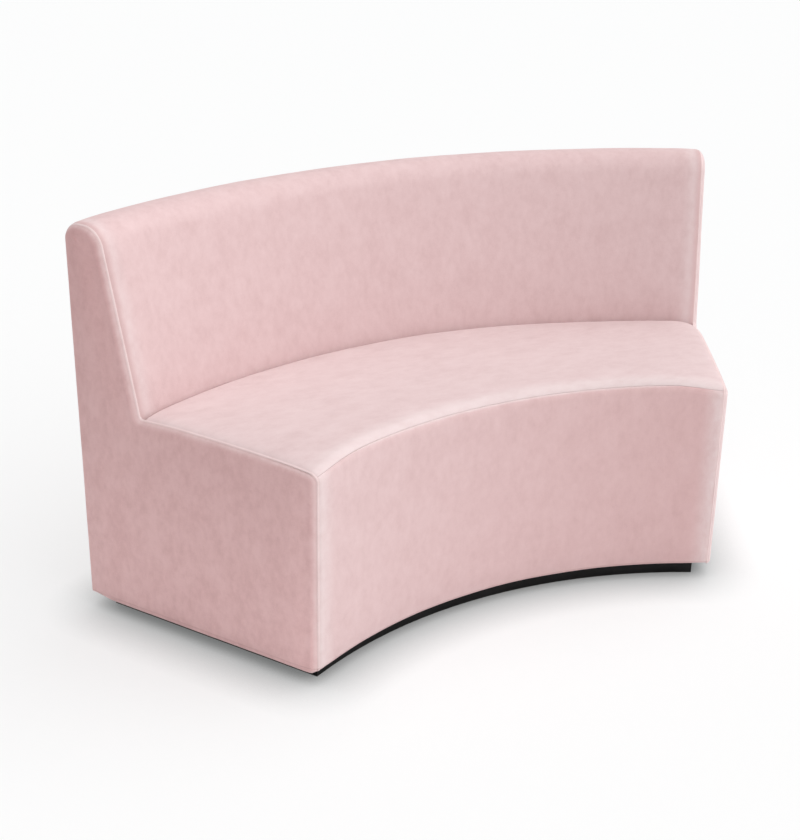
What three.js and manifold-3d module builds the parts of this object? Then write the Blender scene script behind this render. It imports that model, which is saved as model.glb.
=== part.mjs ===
// Curved sofa: one segment of a ring, upholstered all over, standing on a low black plinth.
// Millimetres, +Z up, floor at z = 0. The hollow side of the curve is the front and faces -Y.
// Sections are drawn as [radius, height], the radius being taken from the upright axis of the ring.

import * as THREE from 'three';
import { mergeVertices } from 'three/addons/utils/BufferGeometryUtils.js';
import Module from 'manifold-3d';

const wasm = await Module();
wasm.setup();

// Driving dimensions
const sectorDegrees = 60;
const rearRadius = 1500;
const undersideHeight = 35;
const frontSeamHeight = 450;
const seatRollHeight = 8;
const seatFall = 4;
const seatCrown = 3;
const seatDepth = 410;
const backDepth = 155;
const totalHeight = 815;
const topThickness = 86;
const rearLean = 10;

// Rounding of the finished section
const seatFrontRadius = 18;
const topFrontRadius = 50;
const topRearRadius = 28;
const frontHemRadius = 6;
const rearHemRadius = 14;
const arcStepDegrees = 18;

// Covers, seams and lining
const fabricThickness = 2;
const hemWidth = 40;
const tuckDepth = 50;
const rearSeamDrop = 6;
const endEdgeRadius = 9;
const endEdgeWidth = 10;
const endBulge = 4;
const endBulgeInset = 26;
const seamWidth = 5;
const seamStand = 1.2;
const liningThickness = 1.5;

// Foam and padding
const frontFoamThickness = 20;
const seatFoamThickness = 95;
const backFoamThickness = 40;
const topFoamThickness = 30;
const rearPadThickness = 6;
const endPadThickness = 9;

// Timber frame
const skinThickness = 4;
const endFrameThickness = 18;
const ribThickness = 18;
const ribCount = 3;
const railThickness = 18;
const railWidth = 80;
const middleRailWidth = 50;
const middleRailHeight = 400;

// Seat webbing
const strapsPerBay = 3;
const strapGap = 10;
const strapThickness = 1.8;
const strapOverlap = 4;

// Plinth
const plinthThickness = 18;
const plinthFrontInset = 28;
const plinthRearInset = 35;
const plinthEndInset = 38;
const crossRailDegrees = 10;
const cornerBlockLeg = 50;

// Plinth screws
const screwRadius = 2.2;
const screwHeadRadius = 5;
const screwHeadHeight = 3;
const screwHeadDepth = 2;
const screwBite = 14;
const screwSides = 12;

// Clearances: between hard pieces that touch, and between the layers that follow the curve
const contactGap = 0.3;
const layerGap = 0.6;
const cutOverrun = 5;

// The ring is faceted in this many equal steps, and a layer's last step is at least this share of one
const sectorSteps = 24;
const leastStepShare = 1 / 4;

// A deeper layer keeps at least this share of an outer rounding
const leastRoundingShare = 1 / 8;

const halfSector = THREE.MathUtils.degToRad(sectorDegrees) / 2;
const stationStep = 2 * halfSector / sectorSteps;
const quarterTurn = Math.PI / 2;
const leftSide = -1;
const rightSide = 1;

// How far each layer lies inside the finished surface
const padInset = fabricThickness + layerGap;
const frontSkinInset = padInset + frontFoamThickness + layerGap;
const frontFrameInset = frontSkinInset + skinThickness + layerGap;
const backSkinInset = padInset + backFoamThickness + layerGap;
const backFrameInset = backSkinInset + skinThickness + layerGap;
const rearSkinInset = padInset + rearPadThickness + layerGap;
const rearFrameInset = rearSkinInset + skinThickness + layerGap;
const endFrameInset = padInset + endPadThickness + layerGap;
const railEndInset = endFrameInset + endFrameThickness + contactGap;
const seamInset = endEdgeWidth + contactGap;
const coverEndInset = seamInset + seamWidth + contactGap;

// Heights and radii that follow from the driving dimensions
const creviceRadius = rearRadius - backDepth;
const frontRadius = creviceRadius - seatDepth;
const seatFrontHeight = frontSeamHeight + seatRollHeight;
const creviceHeight = seatFrontHeight - seatFall;
const rearSeamHeight = totalHeight - topRearRadius - rearSeamDrop;
const frameBottom = undersideHeight + fabricThickness + layerGap;
const frameTop = totalHeight - padInset - topFoamThickness - layerGap;
const foamBottom = seatFrontHeight - padInset - seatFoamThickness;
const deckHeight = foamBottom - strapThickness - 2 * contactGap;
const plinthHeight = undersideHeight - contactGap;
const frontHem = Math.min(frontHemRadius, frontSkinInset);
const rearHem = Math.min(rearHemRadius, rearFrameInset);

// Finishes
const fabricFinish = finish(0xe3c3c3, 0.9);
const foamFinish = finish(0xe9dfb4, 0.95);
const paddingFinish = finish(0xf1f0ec, 0.95);
const plywoodFinish = finish(0xc9a878, 0.7);
const boardFinish = finish(0x8f6d4c, 0.8);
const webbingFinish = finish(0x3c3a38, 0.85);
const liningFinish = finish(0x1d1d1f, 0.95);
const plinthFinish = finish(0x1b1b1c, 0.45);
const screwFinish = finish(0xb9bbc0, 0.35, 1);

function finish(color, roughness, metalness = 0) {
  return new THREE.MeshStandardMaterial({ color, roughness, metalness });
}

// A straight edge of the finished section, walked so that the body lies on its left
function edge(from, to) {
  const length = Math.hypot(to[0] - from[0], to[1] - from[1]);
  const along = [(to[0] - from[0]) / length, (to[1] - from[1]) / length];
  return { from, along, inward: [-along[1], along[0]] };
}

const underside = edge([frontRadius, undersideHeight], [rearRadius, undersideHeight]);
const rear = edge([rearRadius, undersideHeight], [rearRadius + rearLean, totalHeight]);
const backTopRadius = rearRadius + rearLean - topThickness;
const top = edge([rearRadius + rearLean, totalHeight], [backTopRadius, totalHeight]);
const back = edge([backTopRadius, totalHeight], [creviceRadius, creviceHeight]);
const seat = edge([creviceRadius, creviceHeight], [frontRadius, seatFrontHeight]);
const front = edge([frontRadius, seatFrontHeight], [frontRadius, undersideHeight]);

function moved(line, inset) {
  return [line.from[0] + line.inward[0] * inset, line.from[1] + line.inward[1] * inset];
}

// The corner of two edges, each moved inwards by its own inset
function meet(a, insetA, b, insetB) {
  const p = moved(a, insetA);
  const q = moved(b, insetB);
  const cross = a.along[0] * b.along[1] - a.along[1] * b.along[0];
  const run = ((q[0] - p[0]) * b.along[1] - (q[1] - p[1]) * b.along[0]) / cross;
  return [p[0] + a.along[0] * run, p[1] + a.along[1] * run];
}

// The point of an edge, moved inwards, at one height
function atHeight(line, inset, height) {
  const p = moved(line, inset);
  return [p[0] + line.along[0] * (height - p[1]) / line.along[1], height];
}

// A path whose corners [radius, height, rounding] are turned into arcs
function rounded(corners, closed = false) {
  const count = corners.length;
  return corners.flatMap((corner, i) => {
    const [x, y, rounding = 0] = corner;
    if (rounding <= 0 || (!closed && (i === 0 || i === count - 1))) {
      return [[x, y]];
    }
    const before = direction(corner, corners[(i + count - 1) % count]);
    const after = direction(corner, corners[(i + 1) % count]);
    const opening = Math.acos(before[0] * after[0] + before[1] * after[1]);
    const toCentre = rounding / Math.sin(opening / 2);
    const middle = direction([0, 0], [before[0] + after[0], before[1] + after[1]]);
    const centre = [x + middle[0] * toCentre, y + middle[1] * toCentre];
    const reach = rounding / Math.tan(opening / 2);
    const start = Math.atan2(y + before[1] * reach - centre[1], x + before[0] * reach - centre[0]);
    const end = Math.atan2(y + after[1] * reach - centre[1], x + after[0] * reach - centre[0]);
    const turn = Math.atan2(Math.sin(end - start), Math.cos(end - start));
    const steps = Math.ceil((Math.PI - opening) / THREE.MathUtils.degToRad(arcStepDegrees));
    return Array.from({ length: steps + 1 }, (_, k) => {
      const angle = start + turn * k / steps;
      return [centre[0] + rounding * Math.cos(angle), centre[1] + rounding * Math.sin(angle)];
    });
  });
}

function direction(from, to) {
  const length = Math.hypot(to[0] - from[0], to[1] - from[1]);
  return [(to[0] - from[0]) / length, (to[1] - from[1]) / length];
}

// Points of the seat surface between its front roll and its rear, raised in the middle
function crowned(frontPoint, rearPoint) {
  const crownShares = [0.25, 0.5, 0.75];
  return crownShares.map((share) => [
    frontPoint[0] + (rearPoint[0] - frontPoint[0]) * share,
    frontPoint[1] + (rearPoint[1] - frontPoint[1]) * share + seatCrown * 4 * share * (1 - share),
  ]);
}

// Seat surface at an inset, from the front roll to where it meets the back at another inset
function seatSurface(inset, backInset) {
  const frontCorner = meet(seat, inset, front, inset);
  const rearCorner = meet(seat, inset, back, backInset);
  const roll = roundingInside(seatFrontRadius, inset);
  return [[...frontCorner, roll], ...crowned(frontCorner, rearCorner), rearCorner];
}

function roundingInside(outerRounding, inset) {
  return Math.max(outerRounding - inset, outerRounding * leastRoundingShare);
}

// Corners of the whole finished section at an inset, from the front hem round to the rear hem
function sectionCorners(inset) {
  return [
    [...meet(front, inset, underside, inset), roundingInside(frontHem, inset)],
    ...seatSurface(inset, inset),
    [...meet(back, inset, top, inset), roundingInside(topFrontRadius, inset)],
    [...meet(top, inset, rear, inset), roundingInside(topRearRadius, inset)],
    [...meet(rear, inset, underside, inset), roundingInside(rearHem, inset)],
  ];
}

// A closed solid from points and triangles, with its faces turned outwards
function closedSolid(points, triangles) {
  const volume = triangles.reduce((sum, [a, b, c]) => sum + points[a].dot(
    new THREE.Vector3().crossVectors(points[b], points[c])), 0);
  const facing = volume > 0 ? triangles : triangles.map(([a, b, c]) => [a, c, b]);
  const geometry = new THREE.BufferGeometry().setFromPoints(points);
  geometry.setIndex(facing.flat());
  geometry.computeVertexNormals();
  return geometry;
}

// Skins a row of rings, each with as many points as the others, and closes the two ends
function loft(rings, outline) {
  const count = outline.length;
  const plan = outline.map(([x, y]) => new THREE.Vector2(x, y));
  const faces = THREE.ShapeUtils.triangulateShape(plan, []);
  const facing = faces.reduce((sum, face) => sum + THREE.ShapeUtils.area(face.map((k) => plan[k])), 0);
  const alike = Math.sign(facing) === Math.sign(THREE.ShapeUtils.area(plan));
  const cap = alike ? faces : faces.map(([a, b, c]) => [a, c, b]);
  const last = (rings.length - 1) * count;
  const triangles = [];
  for (let ring = 0; ring < rings.length - 1; ring += 1) {
    for (let k = 0; k < count; k += 1) {
      const a = ring * count + k;
      const b = ring * count + (k + 1) % count;
      triangles.push([a, b, b + count], [a, b + count, a + count]);
    }
  }
  cap.forEach(([a, b, c]) => triangles.push([a, c, b], [last + a, last + b, last + c]));
  return closedSolid(rings.flat(), triangles);
}

// A section swept round the ring, cut at both ends by planes parallel to the end faces
function swept(outline, endInset) {
  const innerRadius = Math.min(...outline.map(([radius]) => radius));
  const fullAngle = halfSector - Math.asin(endInset / innerRadius);
  const whole = Math.floor(fullAngle / stationStep - leastStepShare);
  const place = (angle, radius, height) => new THREE.Vector3(
    radius * Math.sin(angle), radius * Math.cos(angle), height);
  const endRing = (side) => outline.map(([radius, height]) => place(
    side * (halfSector - Math.asin(endInset / radius)), radius, height));
  const rings = [endRing(leftSide)];
  for (let station = -whole; station <= whole; station += 1) {
    rings.push(outline.map(([radius, height]) => place(station * stationStep, radius, height)));
  }
  rings.push(endRing(rightSide));
  return loft(rings, outline);
}

// A point on the floor plan, from how far along an end face it lies and how far in from that face
function fromEnd(side, along, inward) {
  return new THREE.Vector2(
    side * (along * Math.sin(halfSector) - inward * Math.cos(halfSector)),
    along * Math.cos(halfSector) + inward * Math.sin(halfSector));
}

// How far along an end face the ring reaches a radius, at some distance in from that face
function alongAt(radius, inward) {
  return Math.sqrt(radius * radius - inward * inward);
}

// A flat board of one thickness, cut to an outline that stands upright
function plate(outline, depth) {
  const shape = new THREE.Shape(outline.map(([x, y]) => new THREE.Vector2(x, y)));
  return new THREE.ExtrudeGeometry(shape, { depth, bevelEnabled: false });
}

// A block that stands on its floor plan
function prism(corners, height) {
  return new THREE.ExtrudeGeometry(new THREE.Shape(corners), { depth: height, bevelEnabled: false });
}

// A geometry as a solid body that can be cut
function toManifold(geometry) {
  const bare = geometry.clone();
  bare.deleteAttribute('normal');
  bare.deleteAttribute('uv');
  const merged = mergeVertices(bare);
  return new wasm.Manifold(new wasm.Mesh({
    numProp: 3,
    vertProperties: new Float32Array(merged.attributes.position.array),
    triVerts: new Uint32Array(merged.index.array),
  }));
}

// A solid with the tools' shapes cut out of it
function drilled(geometry, tools) {
  const cut = tools.reduce((body, tool) => body.subtract(toManifold(tool)), toManifold(geometry));
  const mesh = cut.getMesh();
  const result = new THREE.BufferGeometry();
  result.setAttribute('position', new THREE.BufferAttribute(mesh.vertProperties, 3));
  result.setIndex(new THREE.BufferAttribute(mesh.triVerts, 1));
  result.computeVertexNormals();
  return result;
}

// The ring stands on its axis: x to the right, y out through the middle of the sofa, z up
const sofa = new THREE.Group();
const ring = new THREE.Group();
sofa.add(ring);

function add(parent, name, geometry, material) {
  const mesh = new THREE.Mesh(geometry, material);
  mesh.name = name;
  parent.add(mesh);
  return mesh;
}

// An upright plane through the axis: x is the radius, y the height, z points to the sofa's right
function uprightPlane(angle) {
  const turned = new THREE.Group();
  turned.rotation.z = -angle;
  const upright = new THREE.Group();
  upright.rotation.set(quarterTurn, quarterTurn, 0);
  turned.add(upright);
  ring.add(turned);
  return upright;
}

const sides = [
  { name: 'left', side: leftSide, plane: uprightPlane(-halfSector) },
  { name: 'right', side: rightSide, plane: uprightPlane(halfSector) },
];

// A board parallel to an end face, its outer side lying at an inset from that face
function addEndBoard(end, name, geometry, material, inset, thickness) {
  const board = add(end.plane, name, geometry, material);
  board.position.z = end.side === rightSide ? -(inset + thickness) : inset;
}

// Fabric covers: each is a cloth shell that follows the finished surface
function shell(path) {
  return [...path(0), ...path(fabricThickness).reverse()];
}

// From the front hem over the seat and down into the tuck behind it
function frontAndSeatPath(inset) {
  const tuckInset = -(contactGap + inset);
  return rounded([
    [frontRadius + hemWidth, undersideHeight + inset],
    [...meet(front, inset, underside, inset), roundingInside(frontHem, inset)],
    ...seatSurface(inset, tuckInset),
    atHeight(back, tuckInset, creviceHeight - tuckDepth),
  ]);
}

// Where a path first climbs past a height, and how many of its points come before that
function crossing(path, height) {
  const count = path.findIndex(([, z]) => z > height);
  const [before, after] = [path[count - 1], path[count]];
  const share = (height - before[1]) / (after[1] - before[1]);
  return { count, point: [before[0] + (after[0] - before[0]) * share, height] };
}

function frontCoverPath(inset) {
  const path = frontAndSeatPath(inset);
  const seam = crossing(path, frontSeamHeight - contactGap);
  return [...path.slice(0, seam.count), seam.point];
}

function seatCoverPath(inset) {
  const path = frontAndSeatPath(inset);
  const seam = crossing(path, frontSeamHeight + contactGap);
  return [seam.point, ...path.slice(seam.count)];
}

function backCoverPath(inset) {
  return rounded([
    atHeight(back, inset, creviceHeight - tuckDepth),
    [...meet(back, inset, top, inset), roundingInside(topFrontRadius, inset)],
    [...meet(top, inset, rear, inset), roundingInside(topRearRadius, inset)],
    atHeight(rear, inset, rearSeamHeight + contactGap),
  ]);
}

function rearCoverPath(inset) {
  return rounded([
    atHeight(rear, inset, rearSeamHeight - contactGap),
    [...meet(rear, inset, underside, inset), roundingInside(rearHem, inset)],
    [rearRadius - hemWidth, undersideHeight + inset],
  ]);
}

add(ring, 'front_cover', swept(shell(frontCoverPath), coverEndInset), fabricFinish);
add(ring, 'seat_cover', swept(shell(seatCoverPath), coverEndInset), fabricFinish);
add(ring, 'back_cover', swept(shell(backCoverPath), coverEndInset), fabricFinish);
add(ring, 'rear_cover', swept(shell(rearCoverPath), coverEndInset), fabricFinish);

// Rings of an end panel at a depth below its surface, from its swelling middle to its straight edge
function endRings(end, depth, edgeInset) {
  const roundShares = [1, 2 / 3, 1 / 3, 0];
  const rounding = endEdgeRadius - depth;
  const turns = roundShares.map((share) => [
    depth + rounding * (1 - Math.cos(share * quarterTurn)),
    depth + rounding * (1 - Math.sin(share * quarterTurn)),
  ]);
  const steps = [[endBulgeInset, depth - endBulge], ...turns, [depth, edgeInset]];
  return steps.map(([inset, inward]) => rounded(sectionCorners(inset), true).map(
    ([x, y]) => new THREE.Vector3(x, y, -end.side * inward)));
}

sides.forEach((end) => {
  const outside = endRings(end, 0, endEdgeWidth);
  const inside = endRings(end, fabricThickness, endEdgeWidth).reverse();
  const outline = rounded(sectionCorners(endBulgeInset), true);
  add(end.plane, `end_cover_${end.name}`, loft([...outside, ...inside], outline), fabricFinish);

  const padRings = endRings(end, padInset, padInset + endPadThickness);
  add(end.plane, `end_padding_${end.name}`, loft(padRings, outline), paddingFinish);
});

// Lapped seams that join the end panels to the other covers
function seamPath(inset) {
  return rounded([
    [frontRadius + hemWidth, undersideHeight + inset],
    ...sectionCorners(inset),
    [rearRadius - hemWidth, undersideHeight + inset],
  ]);
}

const seamOutline = [...seamPath(-seamStand), ...seamPath(fabricThickness).reverse()];
sides.forEach((end) => {
  const seam = plate(seamOutline, seamWidth);
  addEndBoard(end, `end_seam_${end.name}`, seam, fabricFinish, seamInset, seamWidth);
});

// Foam and padding
const seatFoamRear = -(contactGap + fabricThickness + layerGap);
const seatFoamOutline = rounded([
  [frontRadius + padInset, foamBottom],
  ...seatSurface(padInset, seatFoamRear),
  atHeight(back, seatFoamRear, foamBottom),
]);
add(ring, 'seat_foam', swept(seatFoamOutline, endFrameInset), foamFinish);

const backFoamOutline = rounded([
  atHeight(back, padInset, foamBottom),
  [...meet(back, padInset, top, padInset), roundingInside(topFrontRadius, padInset)],
  [...meet(top, padInset, rear, padInset), roundingInside(topRearRadius, padInset)],
  atHeight(rear, padInset, frameTop + layerGap),
  atHeight(back, padInset + backFoamThickness, frameTop + layerGap),
  atHeight(back, padInset + backFoamThickness, foamBottom),
]);
add(ring, 'back_foam', swept(backFoamOutline, endFrameInset), foamFinish);

// A four-sided layer along one edge of the section, between two heights
function layer(line, inset, thickness, low, high) {
  return [
    atHeight(line, inset, low),
    atHeight(line, inset, high),
    atHeight(line, inset + thickness, high),
    atHeight(line, inset + thickness, low),
  ];
}

const frontFoamBottom = undersideHeight + frontHem + layerGap;
const rearLayerBottom = undersideHeight + rearHem + layerGap;
const frontFoam = layer(front, padInset, frontFoamThickness, frontFoamBottom, foamBottom - layerGap);
const rearPad = layer(rear, padInset, rearPadThickness, rearLayerBottom, frameTop);
add(ring, 'front_foam', swept(frontFoam, endFrameInset), foamFinish);
add(ring, 'rear_padding', swept(rearPad, endFrameInset), paddingFinish);

// Bendable boards that close the frame in
const frontSkin = layer(front, frontSkinInset, skinThickness, frameBottom, deckHeight);
const backSkin = layer(back, backSkinInset, skinThickness, foamBottom, frameTop);
const rearSkin = layer(rear, rearSkinInset, skinThickness, rearLayerBottom, frameTop);
add(ring, 'front_panel', swept(frontSkin, endFrameInset), boardFinish);
add(ring, 'inner_back_panel', swept(backSkin, endFrameInset), boardFinish);
add(ring, 'outer_back_panel', swept(rearSkin, endFrameInset), boardFinish);

// Frame: end boards, ribs and the curved rails that join them
const frameFront = frontRadius + frontFrameInset;
const uprightFoot = atHeight(back, backFrameInset, deckHeight);
const endFrameOutline = [
  [frameFront, frameBottom],
  [frameFront, deckHeight],
  uprightFoot,
  atHeight(back, backFrameInset, frameTop),
  atHeight(rear, rearFrameInset, frameTop),
  atHeight(rear, rearFrameInset, frameBottom),
];
sides.forEach((end) => {
  const board = plate(endFrameOutline, endFrameThickness);
  addEndBoard(end, `end_frame_${end.name}`, board, plywoodFinish, endFrameInset, endFrameThickness);
});

const frameRear = atHeight(rear, rearFrameInset, frameBottom)[0];
const lowRailTop = frameBottom + railThickness;
const deckRailBottom = deckHeight - railThickness;
const topRailBottom = frameTop - railThickness;
const middleRailTop = middleRailHeight + railThickness;
const seatRailRear = uprightFoot[0] - contactGap;
const middleRailRear = atHeight(rear, rearFrameInset, middleRailHeight)[0];

// A flat curved rail between two radii, lying at one height
function railOutline(innerRadius, outerRadius, low) {
  return [
    [innerRadius, low],
    [outerRadius, low],
    [outerRadius, low + railThickness],
    [innerRadius, low + railThickness],
  ];
}

const frontLowRail = swept(railOutline(frameFront, frameFront + railWidth, frameBottom), railEndInset);
const rearLowRail = swept(railOutline(frameRear - railWidth, frameRear, frameBottom), railEndInset);
const frontDeckRail = railOutline(frameFront, frameFront + railWidth, deckRailBottom);
const rearDeckRail = railOutline(seatRailRear - railWidth, seatRailRear, deckRailBottom);
const middleRail = railOutline(middleRailRear - middleRailWidth, middleRailRear, middleRailHeight);
const topRail = railOutline(
  atHeight(back, backFrameInset, frameTop)[0],
  atHeight(rear, rearFrameInset, topRailBottom)[0],
  topRailBottom);
add(ring, 'front_seat_rail', swept(frontDeckRail, railEndInset), plywoodFinish);
add(ring, 'rear_seat_rail', swept(rearDeckRail, railEndInset), plywoodFinish);
add(ring, 'rear_middle_rail', swept(middleRail, railEndInset), plywoodFinish);
add(ring, 'back_top_rail', swept(topRail, railEndInset), plywoodFinish);

// Each rib is notched where the rails pass and carries the top rail on its upright
const notch = 2 * contactGap;
const ribOutline = [
  [frameFront + railWidth + notch, frameBottom],
  [frameFront + railWidth + notch, lowRailTop + notch],
  [frameFront, lowRailTop + notch],
  [frameFront, deckRailBottom - notch],
  [frameFront + railWidth + notch, deckRailBottom - notch],
  [frameFront + railWidth + notch, deckHeight],
  [seatRailRear - railWidth - notch, deckHeight],
  [seatRailRear - railWidth - notch, deckRailBottom - notch],
  [seatRailRear + notch, deckRailBottom - notch],
  atHeight(back, backFrameInset, deckHeight + notch),
  atHeight(back, backFrameInset, topRailBottom - contactGap),
  atHeight(rear, rearFrameInset, topRailBottom - contactGap),
  atHeight(rear, rearFrameInset, middleRailTop + notch),
  [middleRailRear - middleRailWidth - notch, middleRailTop + notch],
  [middleRailRear - middleRailWidth - notch, middleRailHeight - notch],
  atHeight(rear, rearFrameInset, middleRailHeight - notch),
  atHeight(rear, rearFrameInset, lowRailTop + notch),
  [frameRear - railWidth - notch, lowRailTop + notch],
  [frameRear - railWidth - notch, frameBottom],
];
const baySweep = 2 * halfSector / (ribCount + 1);
for (let rib = 1; rib <= ribCount; rib += 1) {
  const board = add(uprightPlane(rib * baySweep - halfSector), `rib_${rib}`,
    plate(ribOutline, ribThickness), plywoodFinish);
  board.position.z = -ribThickness / 2;
}

// Elastic webbing across the seat opening, with a gap beside each strap at the bay's narrow end
const strapLength = seatRailRear - frameFront - 2 * strapOverlap;
const bayWidth = frameFront * baySweep - railEndInset - ribThickness / 2;
const strapWidth = bayWidth / strapsPerBay - strapGap;
const strapSweep = bayWidth / strapsPerBay / frameFront;
for (let bay = 0; bay <= ribCount; bay += 1) {
  const leftEdge = bay === 0 ? railEndInset : ribThickness / 2;
  const rightEdge = bay === ribCount ? railEndInset : ribThickness / 2;
  const middle = (bay + 1 / 2) * baySweep - halfSector + (leftEdge - rightEdge) / 2 / frameFront;
  for (let k = 0; k < strapsPerBay; k += 1) {
    const angle = middle + (k - (strapsPerBay - 1) / 2) * strapSweep;
    const strap = add(uprightPlane(angle), `seat_strap_${bay * strapsPerBay + k + 1}`,
      new THREE.BoxGeometry(strapLength, strapThickness, strapWidth), webbingFinish);
    strap.position.set(frameFront + strapOverlap + strapLength / 2,
      deckHeight + contactGap + strapThickness / 2, 0);
  }
}

// Plinth: two curved rails, two end rails and two cross rails, painted black
const plinthFront = frontRadius + plinthFrontInset;
const plinthRear = rearRadius - plinthRearInset;
const plinthFrontBack = plinthFront + plinthThickness;
const plinthRearFront = plinthRear - plinthThickness;

function plinthRail(innerRadius, outerRadius) {
  const outline = [
    [innerRadius, 0],
    [outerRadius, 0],
    [outerRadius, plinthHeight],
    [innerRadius, plinthHeight],
  ];
  return swept(outline, plinthEndInset);
}

add(ring, 'plinth_front_rail', plinthRail(plinthFront, plinthFrontBack), plinthFinish);
add(ring, 'plinth_rear_rail', plinthRail(plinthRearFront, plinthRear), plinthFinish);

const endRailInside = plinthEndInset + plinthThickness;
const endRailStart = alongAt(plinthFrontBack, plinthEndInset) + contactGap;
const endRailEnd = alongAt(plinthRearFront, endRailInside) - layerGap;
sides.forEach((end) => {
  const corners = [
    fromEnd(end.side, endRailStart, plinthEndInset),
    fromEnd(end.side, endRailStart, endRailInside),
    fromEnd(end.side, endRailEnd, endRailInside),
    fromEnd(end.side, endRailEnd, plinthEndInset),
  ];
  add(ring, `plinth_end_rail_${end.name}`, prism(corners, plinthHeight), plinthFinish);

  const crossStart = plinthFrontBack + layerGap;
  const crossLength = plinthRearFront - layerGap - crossStart;
  const crossRail = add(uprightPlane(end.side * THREE.MathUtils.degToRad(crossRailDegrees)),
    `plinth_cross_rail_${end.name}`,
    new THREE.BoxGeometry(crossLength, plinthHeight, plinthThickness), plinthFinish);
  crossRail.position.set(crossStart + crossLength / 2, plinthHeight / 2, 0);
});

// Corner blocks in the plinth, each screwed up through the lining into a low rail of the frame
const blockInside = endRailInside + contactGap;
const frontBlockRadius = plinthFrontBack + layerGap;
const rearBlockRadius = plinthRearFront - layerGap;
const blockCorners = sides.flatMap(({ name, side }) => [
  { name: `front_${name}`, side, radius: frontBlockRadius, leg: cornerBlockLeg },
  { name: `rear_${name}`, side, radius: rearBlockRadius, leg: -cornerBlockLeg },
]);

function blockPlan({ side, radius, leg }) {
  const farInside = blockInside + cornerBlockLeg;
  const start = leg > 0 ? alongAt(radius, blockInside) : alongAt(radius, farInside);
  return [
    fromEnd(side, start, blockInside),
    fromEnd(side, start + leg, blockInside),
    fromEnd(side, leg > 0 ? alongAt(radius, farInside) : start, farInside),
  ];
}

function middleOf(corners) {
  const sum = corners.reduce((total, corner) => total.add(corner), new THREE.Vector2());
  return sum.divideScalar(corners.length);
}

// A countersunk screw, or with clearance the hole that it goes in
function screwBody(clearance, start, end) {
  const headTop = screwHeadDepth + screwHeadHeight;
  const profile = [
    [0, start],
    [screwHeadRadius + clearance, start],
    [screwHeadRadius + clearance, screwHeadDepth],
    [screwRadius + clearance, headTop + clearance],
    [screwRadius + clearance, end],
    [0, end],
  ].map(([radius, height]) => new THREE.Vector2(radius, height));
  const kept = profile.filter((point, i) => i === 0 || point.distanceTo(profile[i - 1]) > 0);
  return new THREE.LatheGeometry(kept, screwSides).rotateX(quarterTurn);
}

const screwPlaces = blockCorners.map((corner) => middleOf(blockPlan(corner)));
const screwTop = frameBottom + screwBite;
const holeTop = lowRailTop + cutOverrun;
const screwHoles = screwPlaces.map(
  (place) => screwBody(contactGap, -cutOverrun, holeTop).translate(place.x, place.y, 0));
const liningOutline = [
  [frontRadius + hemWidth + layerGap, undersideHeight],
  [rearRadius - hemWidth - layerGap, undersideHeight],
  [rearRadius - hemWidth - layerGap, undersideHeight + liningThickness],
  [frontRadius + hemWidth + layerGap, undersideHeight + liningThickness],
];
blockCorners.forEach((corner, i) => {
  const block = drilled(prism(blockPlan(corner), plinthHeight), [screwHoles[i]]);
  add(ring, `plinth_block_${corner.name}`, block, plywoodFinish);
  const body = screwBody(0, screwHeadDepth, screwTop);
  const screw = add(ring, `plinth_screw_${corner.name}`, body, screwFinish);
  screw.position.set(screwPlaces[i].x, screwPlaces[i].y, 0);
});
add(ring, 'underside_lining', drilled(swept(liningOutline, seamInset), screwHoles), liningFinish);
add(ring, 'front_low_rail', drilled(frontLowRail, screwHoles), plywoodFinish);
add(ring, 'rear_low_rail', drilled(rearLowRail, screwHoles), plywoodFinish);

// The origin is the middle of the sofa's footprint, on the floor
const extent = new THREE.Box3().setFromObject(ring, true);
ring.position.y = -(extent.min.y + extent.max.y) / 2;

export default sofa;
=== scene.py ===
# Curved sofa, upholstered all over in pale pink, standing on a low black plinth.
# Metres, +Z up, floor at z = 0. The hollow side of the curve is the front and faces -Y.
import math

import bmesh
import bpy
import numpy as np
from mathutils import Matrix, Vector, noise
from mathutils.geometry import delaunay_2d_cdt


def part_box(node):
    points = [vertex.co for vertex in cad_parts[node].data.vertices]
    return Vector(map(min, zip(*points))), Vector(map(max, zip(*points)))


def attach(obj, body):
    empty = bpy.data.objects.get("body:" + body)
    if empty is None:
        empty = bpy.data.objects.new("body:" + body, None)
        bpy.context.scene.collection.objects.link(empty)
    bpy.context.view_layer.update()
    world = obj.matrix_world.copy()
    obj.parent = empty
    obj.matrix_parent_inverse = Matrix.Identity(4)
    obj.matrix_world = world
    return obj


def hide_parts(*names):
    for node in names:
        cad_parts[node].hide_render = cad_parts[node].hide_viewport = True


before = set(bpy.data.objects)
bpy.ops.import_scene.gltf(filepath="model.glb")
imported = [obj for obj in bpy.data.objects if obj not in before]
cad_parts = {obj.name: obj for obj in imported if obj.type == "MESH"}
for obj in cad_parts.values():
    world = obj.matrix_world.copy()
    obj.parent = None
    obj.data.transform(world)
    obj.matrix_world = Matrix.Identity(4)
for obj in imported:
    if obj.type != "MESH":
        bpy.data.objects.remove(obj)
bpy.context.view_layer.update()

# Camera
# Stands in front of the sofa, left of its middle and at eye height, and looks down at it. Its
# place, turn and lens were worked out from the edges of the sofa in the photograph.
picture_height = 840
focal_pixels = 1475.4
middle_line_pixel = 370
sensor_size = 36
camera_place = Vector((-1.4733, -2.4772, 1.5632))
camera_yaw = math.radians(28.811)
camera_pitch = math.radians(21.351)
camera_roll = math.radians(1.035)

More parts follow.
